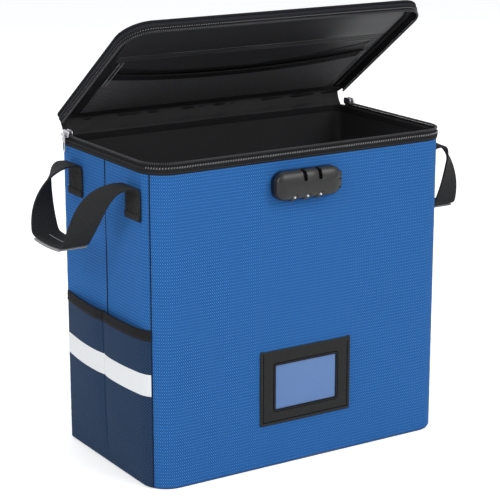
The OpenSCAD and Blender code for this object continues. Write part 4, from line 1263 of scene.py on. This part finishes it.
# Near-black for the grooves round the window and along the closed sides: painted shade.
weld_black = speckled_material("weld_black", (0.003, 0.003, 0.003), (0.008, 0.008, 0.009),
    scale=900.0, depth=0.05 * MM, roughness=0.7, gloss=0.08)


# The holder's mouth: its upper edge lies a little lower between the two side strips
left_strip_w, right_strip_w, mouth_h, mouth_drop = 3.8 * MM, 2.8 * MM, 6 * MM, 0.8 * MM


def frame_layer(inset, out, at_window=False):
    """One loop of the frame; at the window the inset is a distance back from the opening."""
    if at_window:
        plan = rounded_loop(window_low, window_high, 0.5 * MM, -inset * MM, side=28)
    else:
        plan = rounded_loop(frame_low, frame_high, 2.0 * MM, inset * MM, side=28)
        from_strips = np.minimum(plan[:, 0] - frame_low[0] - left_strip_w,
            frame_high[0] - right_strip_w - plan[:, 0])
        between_strips = (from_strips > 0) * (plan[:, 1] > frame_high[1] - mouth_h)
        plan[:, 1] -= between_strips * mouth_drop
        out = np.where(between_strips & (3 < inset), 1.5, out)
    wave = 0.12 * MM * sway(plan[:, 0], plan[:, 1], 71, length=0.05)
    return plan, out * MM + wave


edge_rows = ((0.3, -0.4), (0, 0.5), (0.2, 1.15), (0.8, 1.5), (2.7, 1.55), (3.1, 1.35), (3.3, 0.55),
    (4.1, 0.55), (4.3, 1.25), (5.0, 1.35))
window_rows = ((4.0, 1.35), (3.2, 1.25), (3.0, 0.55), (2.2, 0.55), (2.0, 1.4), (1.4, 1.65), (0.5, 1.6),
    (0.1, 1.3), (0, 0.6), (0.3, -0.4))
groove_shade_rows = ((2.7, 0.4), (2.5, 1.25), (2.0, 1.4), (0.7, 1.66), (0.2, 1.6), (-0.15, 0.9), (0.3, 0.4))
label_layers = [frame_layer(*row) for row in edge_rows] + [frame_layer(*row, True) for row in window_rows]
label_frame = looped_mesh("label_frame", label_layers, on_front, True)
add_piece("label_holder", label_frame, label_vinyl, "case", "label_vinyl", "label_frame")
# A near-black ring along the window's edge and groove: painted shade.
window_weld = looped_mesh("window_weld", [frame_layer(*row, True) for row in groove_shade_rows], on_front, True)
add_piece("window_weld", window_weld, weld_black, "case", "label_vinyl")

film_x = np.linspace(window_low[0] - 1.5 * MM, window_high[0] + 1.5 * MM, 22)
film_z = np.linspace(window_low[1] - 1.5 * MM, window_high[1] + 1.5 * MM, 16)
film_out = 0.45 * MM + 0.12 * MM * sway(film_x[None, :], film_z[:, None], 72, length=0.06)
film_grid = np.stack([np.broadcast_to(film_x, film_out.shape), -half_w - film_out,
    np.broadcast_to(film_z[:, None], film_out.shape)], axis=2)
clear_film, film_tree, film_shader = new_material("clear_film", 0.16, gloss=0.5, Alpha=0.62)
film_haze = add_node(film_tree, "ShaderNodeTexNoise", {
    "Vector": add_node(film_tree, "ShaderNodeTexCoord").outputs["Object"], "Scale": 60.0})
finish_surface(film_tree, film_shader,
    mix_colour(film_tree, film_haze.outputs["Fac"], (0.145, 0.275, 0.575), (0.165, 0.300, 0.610)),
    film_haze.outputs["Fac"], 0.03 * MM)
label_film = cloth("label_window", film_grid, film_x, film_z, 0.3 * MM)
add_piece("label_window", label_film, clear_film, "case", "clear_film", "label_film")


def label_seam(left, right, foot, top, out):
    """A route down, along and up the holder's three closed sides, in millimetres."""
    corners = ((left, top), (left, foot), (right, foot), (right, top))
    route = np.array([on_front(x, z, out) for x, z in np.array(corners) * MM])
    return route, np.broadcast_to((0, -1.0, 0), route.shape)


sew("label_stitches", [label_seam(left=-55.1, right=54.1, foot=48.4, top=126, out=1.6 * MM)], "case",
    "label_vinyl")
groove, groove_up = label_seam(left=-53.2, right=52.4, foot=50.0, top=127, out=0.75 * MM)
# Near-black rods in the groove along the three closed sides: painted shade.
for index in range(3):
    add_piece(f"label_weld_{index + 1}", rod_mesh("weld", groove[index:index + 2], groove_up[index:index + 2],
        0.55 * MM, 0.5 * MM, sides=8), weld_black, "case", "label_vinyl")


# ---- Combination lock ----
# The lock's moulded shell is domed, and two screws hold it to a plate inside. Two slots in
# its top edge take the ends of the zip pulls, three dials show along its lower edge, and a
# ribbed button stands out at its right end, beside three short gaps in the shell.
shell_low, shell_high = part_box("lock_housing")
shell_plan = ((shell_low.x, shell_low.z), (shell_high.x, shell_high.z))
shell_r = 11 * MM
lock_plastic = speckled_material("lock_plastic", (0.003, 0.003, 0.003), (0.009, 0.009, 0.009),
    scale=1500.0, depth=0.03 * MM, roughness=0.34, gloss=0.45)
shell_layers = [(1.0, 0.0), (0.3, 0.3), (0, 0.9), (0, 7.6), (0.2, 7.9), (0.9, 8.1), (0.9, 8.8),
    (0.2, 9.0), (0.15, 9.4), (0.4, 10.3), (1.2, 11.4), (2.5, 12.4), (4.2, 13.2), (6.4, 13.9),
    (8.8, 14.4), (11.4, 14.8), (13.8, 15.0)]
lock_shell = looped_mesh("lock_shell", [(rounded_loop(*shell_plan, shell_r, inset * MM, corner=12, side=3),
    out * MM) for inset, out in shell_layers], on_front, False, 30)


def cut_away(mesh, cutters, bevel):
    """The mesh with each cutter's space taken out and its new edges rounded a little."""
    carrier = linked_object(mesh.name, mesh)
    tools = [linked_object("cutter", cutter) for cutter in cutters]
    for tool in tools:
        modifier = carrier.modifiers.new("cut", "BOOLEAN")
        modifier.operation, modifier.solver, modifier.object = "DIFFERENCE", "EXACT", tool
    modifier = carrier.modifiers.new("round", "BEVEL")
    modifier.width, modifier.segments, modifier.limit_method = bevel, 2, "ANGLE"
    modifier.angle_limit = math.radians(50)
    made = finished_mesh(mesh.name, carrier, *tools)
    made.materials.clear()
    return made


def stacked_along(axis):
    """The place function for loops that are stacked along an axis."""
    def place(a, b, out):
        """A point of a loop, with the loop's own place put in along the axis."""
        point = [a, b]
        point.insert("XYZ".index(axis), out)
        return tuple(point)

    return place


def box_across(low, high, axis):
    """A box in millimetres as its plan's two corners across an axis and its two ends."""
    low, high, run = np.array(low) * MM, np.array(high) * MM, "XYZ".index(axis)
    return (np.delete(low, run), np.delete(high, run)), low[run], high[run]


def block_mesh(low, high, r=0.0, axis="Y"):
    """A cutter or part from low to high in millimetres, its corners rounded about an axis."""
    plan, start, end = box_across(low, high, axis)
    loop = rounded_loop(*plan, max(r, 0.06) * MM)
    return looped_mesh("block", [(loop, start), (loop, end)], stacked_along(axis), False)


dial_nodes = ["lock_dial_1", "lock_dial_2", "lock_dial_3"]
dial_spots = [(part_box(node)[0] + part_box(node)[1]) / 2 / MM for node in dial_nodes]
dial_r, dial_half_w = 6.0, 3.0
slot_spots, slot_half_w, slot_foot = (-11.2, 7.0), 2.25, 305.5
button_low, button_high = (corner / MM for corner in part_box("lock_button"))
latch_low, latch_high = (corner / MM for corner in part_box("lock_latch"))
spring_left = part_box("lock_spring")[0].x / MM
travel_mm, gap_mm = 2.5, 0.3
past_front, past_top, past_foot, past_right = -118, 321, 270, 60
slot_back, well_back = -102.3, -102
button_r, dial_well_r = 2.6, 5.5
end_gap_left, end_gap_right, end_gap_back, end_gap_half = 30.4, 40, -108.8, 0.8

cutters = [block_mesh((x - slot_half_w, past_front, slot_foot), (x + slot_half_w, slot_back, past_top),
    slot_half_w) for x in slot_spots]
cutters += [block_mesh((p.x - dial_half_w - gap_mm, p.y - dial_r - gap_mm, past_foot),
    (p.x + dial_half_w + gap_mm, p.y + dial_r + gap_mm, p.z + dial_r + gap_mm), dial_well_r, "X")
    for p in dial_spots]
end_gaps = [block_mesh((end_gap_left, past_front, z - end_gap_half),
    (end_gap_right, end_gap_back, z + end_gap_half)) for z in (294.4, 303.2, 312.2)]
cutters += [gap.copy() for gap in end_gaps]
cutters += [
    block_mesh((spring_left, latch_low.y - gap_mm, latch_low.z - gap_mm),
        (latch_high.x + 0.5, well_back, latch_high.z + gap_mm)),
    block_mesh((button_low.x - travel_mm - gap_mm, button_low.y - gap_mm, button_low.z - gap_mm),
        (past_right, well_back, button_high.z + gap_mm), button_r, "X")]
lock_shell = cut_away(lock_shell, cutters, 0.28 * MM)
lock_shell.set_sharp_from_angle(angle=math.radians(32))
add_piece("lock_shell", lock_shell, lock_plastic, "case", "lock_plastic", "lock_housing")

dial_plastic = speckled_material("dial_plastic", (0.012, 0.012, 0.013), (0.028, 0.028, 0.030),
    scale=1500.0, depth=0.03 * MM, roughness=0.4, gloss=0.5)
mark_paint = speckled_material("mark_paint", (0.62, 0.62, 0.62), (0.80, 0.80, 0.80), scale=2000.0,
    depth=0.02 * MM, roughness=0.5)


def dial_ring(x_off, radius, middle, teeth=10):
    """One loop of a dial: its rim has a shallow groove between each pair of figures."""
    turns = np.arange(teeth * 6) * math.tau / (teeth * 6)
    groove = np.exp(-((np.arange(teeth * 6) % 6 - 3) / 0.9) ** 2)
    reach = (radius - 0.45 * groove * (radius > 4)) * MM
    return [((middle.x + x_off) * MM, middle.y * MM + reach[k] * math.cos(t),
        middle.z * MM + reach[k] * math.sin(t)) for k, t in enumerate(turns)]


dial_rows = ((-3, 2.0), (-3, 5.3), (-2.6, 5.8), (-2.0, 6.0), (2.0, 6.0), (2.6, 5.8), (3, 5.3), (3, 2.0))
mark_half_w, mark_h, mark_front, mark_back = 0.7, 1.8, -115.05, -112.6
mark_foot = shell_low.z / MM + 2.6
for index, (node, spot) in enumerate(zip(dial_nodes, dial_spots), 1):
    rings = [np.array(dial_ring(x, r, spot)) for x, r in dial_rows]
    dial = looped_mesh(node, [(ring[:, 1:], ring[:, 0]) for ring in rings], stacked_along("X"), True)
    add_piece(f"dial_{index}", dial, dial_plastic, f"dial_{index}", "dial_plastic", node)
    mark = block_mesh((spot.x - mark_half_w, mark_front, mark_foot),
        (spot.x + mark_half_w, mark_back, mark_foot + mark_h), 0.4)
    add_piece(f"dial_mark_{index}", mark, mark_paint, "case", "lock_plastic")

button_plan = ((button_low.y * MM, button_low.z * MM), (button_high.y * MM, button_high.z * MM))
button_layers = [(0.2, button_low.x), (0, button_low.x + 0.3)] + [(inset, button_high.x - back)
    for inset, back in ((0, 2.2), (0.7, 1.2), (1.8, 0.5), (3.4, 0))]
button = looped_mesh("lock_button", [(rounded_loop(*button_plan, button_r * MM, inset * MM, side=2), x * MM)
    for inset, x in button_layers], stacked_along("X"), False)
button = cut_away(button, end_gaps[:2], 0.2 * MM)
ridge_start, ridge_end, ridge_h = 2.6, 6.8, 1.1
ridges = [block_mesh((button_high.x - 1.2, button_low.y + ridge_start, button_low.z + up),
    (button_high.x + 0.3, button_low.y + ridge_end, button_low.z + up + ridge_h), 0.4) for up in (5.6, 13.2)]


def joined(name, meshes):
    """Several meshes as one, with their UV maps."""
    work = bmesh.new()
    for mesh in meshes:
        work.from_mesh(mesh)
    made = bpy.data.meshes.new(name)
    work.to_mesh(made)
    work.free()
    made.set_sharp_from_angle(angle=math.radians(40))
    return made


add_piece("release_button", joined("release_button", [button, *ridges]), lock_plastic, "release",
    "lock_plastic", "lock_button")

zinc = speckled_material("zinc", (0.42, 0.42, 0.44), (0.62, 0.62, 0.64), scale=500.0,
    depth=0.04 * MM, roughness=0.34, gloss=0.5, Metallic=1.0)
steel = speckled_material("steel", (0.50, 0.51, 0.53), (0.68, 0.69, 0.70), scale=300.0,
    stretch=(1, 8, 8), depth=0.03 * MM, roughness=0.28, gloss=0.5, Metallic=1.0)
dress(zinc, "lock_latch", "lock_plate")
dress(steel, "lock_spindle", "lock_screws", "lock_spring")


# ---- Zip sliders and pulls ----
# Each slider is a cast body: two rounded plates over the coil, joined by a post, with two
# lugs that hold the pull's pin. The pull is a flat plate with a slot near its free end.
def plate_solid(low, high, r, dome, axis="X"):
    """A flat plate with rounded corners and softened edges; sizes in millimetres."""
    plan, start, end = box_across(low, high, axis)
    rows = ((dome, 0), (0.3 * dome, 0.12), (0, 0.35), (0, 0.65), (0.3 * dome, 0.88), (dome, 1))
    return looped_mesh("plate", [(rounded_loop(*plan, r * MM, inset * MM), start + (end - start) * share)
        for inset, share in rows], stacked_along(axis), False)


pin_x, pin_z, slide_y = -184.2, 339.0, 81.0
eye_r, pin_r = 1.6, 0.6


def tube_mesh(name, low_y, high_y, outer_r, inner_r, sides=16):
    """A short round sleeve along Y about the pull's pin."""
    layers = []
    for y, r in ((low_y, outer_r - 0.2), (low_y + 0.2, outer_r), (high_y - 0.2, outer_r),
            (high_y, outer_r - 0.2), (high_y, inner_r), (low_y, inner_r)):
        turns = np.arange(sides) * math.tau / sides
        layers.append((np.c_[pin_x + r * np.cos(turns), pin_z + r * np.sin(turns)] * MM, y * MM))
    return looped_mesh(name, layers, stacked_along("Y"), True)


plate_t, plate_half_l, plate_low, plate_high = 1.2, 6.5, 336, 344
slider = joined("slider", [
    *(plate_solid((x, slide_y - plate_half_l, plate_low), (x + plate_t, slide_y + plate_half_l, plate_high),
        3.0, 0.35) for x in (-182.3, -177.9)),
    block_mesh((-181.2, slide_y - 3.2, 339.65), (-177.8, slide_y + 3.2, 340.35), 0.3, "Y"),
    *(plate_solid((pin_x - 1.6, y, pin_z - 1.6), (-182.2, y + 1.0, pin_z + 1.6), 1.2, 0.15, "Y")
        for y in (slide_y - 3.8, slide_y + 2.8)),
    rod_mesh("pin", np.array([(pin_x, slide_y - 2.9, pin_z), (pin_x, slide_y + 2.9, pin_z)]) * MM,
        (0, 0, 1), pin_r * MM, pin_r * MM, sides=12)])

tab_plan = np.array([(slide_y - 2.5, 321.0), (slide_y + 2.5, 338.6)]) * MM
hole_plan = np.array([(slide_y - 1.2, 323.0), (slide_y + 1.2, 331.0)]) * MM
tab_rows = ((tab_plan, 1.6, ((0.25, -0.6), (0, -0.4), (0, 0.4), (0.25, 0.6))),
    (hole_plan, 1.1, ((-0.2, 0.6), (0, 0.4), (0, -0.4), (-0.2, -0.6))))
tab_layers = [(rounded_loop(*plan, r * MM, inset * MM, side=3), (pin_x + out) * MM)
    for plan, r, rows in tab_rows for inset, out in rows]
pull = joined("pull", [looped_mesh("tab", tab_layers, stacked_along("X"), True),
    tube_mesh("eye", slide_y - 2.5, slide_y + 2.5, eye_r, pin_r + 0.2)])


def as_made(mesh):
    """The mesh as it is, for the left side."""
    return mesh


def mirrored(mesh):
    """The same mesh for the right side."""
    made = mesh.copy()
    reshape(made, lambda points: points * (-1, 1, 1))
    made.flip_normals()
    return made


for side, turn in (("left", as_made), ("right", mirrored)):
    add_piece(f"zip_slider_{side}", turn(slider), zinc, f"slider_{side}", "zinc", f"slider_{side}")
    add_piece(f"zip_pull_{side}", turn(pull), zinc, f"pull_{side}", "zinc", f"pull_{side}")


# ---- Handles ----
# Each handle is one length of ribbed webbing. Its ends are folded under and sewn to the
# side with a boxed cross; from there it rises, bends over and hangs out, and it turns to
# lie flat along the grip, over a thin pale pad. The right handle hangs lower.
web_w, web_t = 30.0, 2.0
leg_y, patch_top, patch_h, bend_out, bend_z = 62.0, 304.0, 25.0, 8.2, 312.0
grip_out, grip_l, grip_sag = 51.0, 56.0, 1.5
wall_x = -half_l / MM
leg_route = ((0, 0, 0), (0.20, 0.01, 0), (0.44, 0.11, 0.06), (0.65, 0.23, 0.19), (0.81, 0.38, 0.39),
    (0.92, 0.56, 0.63), (0.985, 0.80, 0.86), (1, 1, 0.98))
end_route = ((1.15, -patch_h), (1.15, -17), (1.15, -8), (1.2, -1), (1.9, 3.6), (3.2, 6.4), (5.2, 7.8))


def handle_knots(drop):
    """Rows of x, y, z and the width's turn in degrees, from the front end to the back end."""
    half = [(wall_x - out, -leg_y, patch_top + up, -90) for out, up in end_route]
    for index, (out, along, down) in enumerate(leg_route):
        share = index / (len(leg_route) - 1)
        half.append((wall_x - bend_out - out * (grip_out - bend_out),
            -(leg_y - along * (leg_y - grip_l / 2 - 4)), bend_z - down * drop,
            90 * share * share * (3 - 2 * share) - 90))
    middle = [(wall_x - grip_out, y, bend_z - drop - grip_sag * (1 - (y / 26) ** 2), 0)
        for y in (-18, -6, 6, 18)]
    return np.array(half + middle + [(x, -y, z, -turn) for x, y, z, turn in half[::-1]])


def smooth_route(knots, step):
    """Even stops on a smooth curve through the knots."""
    ends = np.vstack([2 * knots[0] - knots[1], knots, 2 * knots[-1] - knots[-2]])
    fine = []
    for a, b, c, d in zip(ends[:-3], ends[1:-2], ends[2:-1], ends[3:]):
        for t in np.linspace(0, 1, 12, endpoint=False):
            fine.append(0.5 * (2 * b + (c - a) * t + (2 * a - 5 * b + 4 * c - d) * t * t
                + (3 * b - a - 3 * c + d) * t ** 3))
    fine = np.array(fine + [knots[-1]])
    run = run_along(fine[:, :3])
    even = np.linspace(0, run[-1], round(run[-1] / step))
    return np.stack([np.interp(even, run, fine[:, k]) for k in range(fine.shape[1])], axis=1), even


webbing = ribbed_material("webbing", (0.0, 0.0, 0.0), (0.047, 0.047, 0.049), rib=2.4 * MM,
    depth=0.5 * MM, roughness=0.8, turn=0.75, gloss=0.1)


def webbing_mesh(name, centres, ways, run, width, thick):
    """Flat webbing along its middle line; ways is its width's direction at each stop."""
    across = np.array([-1, -0.97, -0.85, -0.5, -0.2, 0.2, 0.5, 0.85, 0.97, 1]) * width / 2
    grid = centres[:, None, :] + ways[:, None, :] * across[None, :, None]
    grid = grid + face_normals(grid, False) * (thick / 2)
    return cloth(name, grid * MM, across * MM, run * MM, thick * MM, edge=0.45)


hem_z = patch_top - patch_h
hem_rows = ((2.3, 6.2), (2.75, 5.4), (2.8, 1), (2.6, -0.6), (1.4, -0.8), (0.6, -0.4))
hem_stops = np.array([(wall_x - out, 0, hem_z + up) for out, up in hem_rows])
grip_pad_fabric = woven_material("grip_pad_fabric", (0.20, 0.20, 0.21), (0.36, 0.36, 0.37),
    pitch=1.1 * MM, depth=0.25 * MM, roughness=0.85)


def grip_pad_mesh(drop):
    """The thin pad under the grip, which sags with the webbing."""
    def on_grip(a, b, out):
        """A point of a cross-section of the pad, hung on the sagging grip."""
        sag = grip_sag * (1 - (out / MM / (grip_l / 2)) ** 2) * MM
        return (wall_x - grip_out) * MM + a, out, (bend_z - drop) * MM + b - sag

    layers = []
    for y, inset in ((-28, 1.2), (-27.6, 0.5), (-26.5, 0.1), *((k, 0) for k in range(-24, 25, 4)),
            (26.5, 0.1), (27.6, 0.5), (28, 1.2)):
        plan = rounded_loop((-16.4 * MM, -4.0 * MM), (16.4 * MM, -1.05 * MM), 1.3 * MM, inset * MM, side=8)
        layers.append((plan, y * MM))
    return looped_mesh("grip_pad", layers, on_grip, False, 60)


def on_patch(y, *points):
    """A route on the sewn end at y, through points across and up, in millimetres."""
    route = np.array([(wall_x - 2.35, y + a, patch_top + b) for a, b in points]) * MM
    return route, np.broadcast_to((-1.0, 0, 0), route.shape)


box_half, box_low, box_high = 11.5, 3.8 - patch_h, -3.0
corners = ((-box_half, box_low), (box_half, box_low), (box_half, box_high), (-box_half, box_high))
cross_routes = [on_patch(y, *route) for y in (-leg_y, leg_y)
    for route in ((*corners, corners[0]), (corners[0], corners[2]), (corners[3], corners[1]))]

for side, sign, drop, turn in (("left", 1, 62.0, as_made), ("right", -1, 78.0, mirrored)):
    body = f"handle_{side}"
    flip = np.array((sign, 1, 1))
    stops, run = smooth_route(handle_knots(drop), 2.4)
    turns = np.radians(stops[:, 3])
    width_way = np.stack([np.cos(turns), np.sin(turns), 0 * turns], axis=1)
    strap = webbing_mesh("handle", stops[:, :3], width_way, run, web_w, web_t)
    strap = add_piece(f"{body}_webbing", turn(strap), webbing, None, "webbing", f"{body}_ends",
        f"{body}_strap")
    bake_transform(strap)
    pad = add_piece(f"{body}_pad", turn(grip_pad_mesh(drop)), grip_pad_fabric, body, "grip_pad",
        f"{body}_grip")
    crosses = [(route * flip, up * flip) for route, up in cross_routes]
    sew(f"{body}_cross_stitches", crosses, "case", "webbing")
    on_top = np.abs(stops[:, 1]) < 26.0
    lines = [(stops[:, :3] + width_way * across + (0, 0, web_t / 2 + 0.05))[on_top] * MM * flip
        for across in (-web_w / 2 + 2.2, web_w / 2 - 2.2)]
    sew(f"{body}_grip_stitches", [(line, (0, 0, 1.0)) for line in lines], body, "webbing")
    # A thin pale rod of the pad's cloth along the middle of the grip: painted highlight.
    middle = (stops[:, :3] + (0, 0, web_t / 2))[on_top] * MM * flip
    add_piece(f"{body}_grip_seam", rod_mesh("seam", middle, (0, 0, 1), 0.6 * MM, 0.25 * MM, sides=8),
        grip_pad_fabric, body, "grip_pad")
    for end, y in (("front", -leg_y), ("back", leg_y)):
        ends = hem_stops + (0, y, 0)
        hem_run = run_along(ends)
        hem = webbing_mesh("hem", ends[::-1], np.broadcast_to((0, -1.0, 0), ends.shape), hem_run, web_w, 0.9)
        add_piece(f"{body}_{end}_hem", turn(hem), webbing, "case", "webbing")


# ---- Painted shade in the seams and folds ----
# Thin dark rods lie in each corner seam and in the pressed fold down each side. They are
# painted shade in these creases, so that the seams and the folds read as fine dark lines.
shade_rod_sink, fold_shade_rod_sink, shade_rod_stops = 0.45 * MM, 0.6 * MM, 60
seam_spots = []
for (x, y, r), degrees in ((front_left_corner, 180 + seam_turn), (front_right_corner, 360 - seam_turn),
        (back_right_corner, 45), (back_left_corner, 135)):
    way_x, way_y = math.cos(math.radians(degrees)), math.sin(math.radians(degrees))
    seam_spots.append((x + (r - shade_rod_sink) * way_x, y + (r - shade_rod_sink) * way_y, way_x, way_y))
seam_spots += [(side * (half_l - fold_shade_rod_sink), 0.0, side, 0.0) for side in (-1, 1)]
# Dark blue for the rods in the seams and folds: painted shade.
crease_shade_paint = fine_grained_material("seam_cord", (0.006, 0.010, 0.022), (0.016, 0.022, 0.044), roughness=0.8)
shade_rod_heights = np.linspace(4 * MM, panel_top - 2 * MM, shade_rod_stops)
for index, (x, y, way_x, way_y) in enumerate(seam_spots, 1):
    line = np.c_[np.full(shade_rod_stops, x), np.full(shade_rod_stops, y), shade_rod_heights]
    # Each rod is painted shade in its crease.
    cord = rod_mesh("cord", line, (way_x, way_y, 0), 0.55 * MM, 0.5 * MM, sides=8)
    add_piece(f"seam_cord_{index}", cord, crease_shade_paint, "case", "binding_tape")
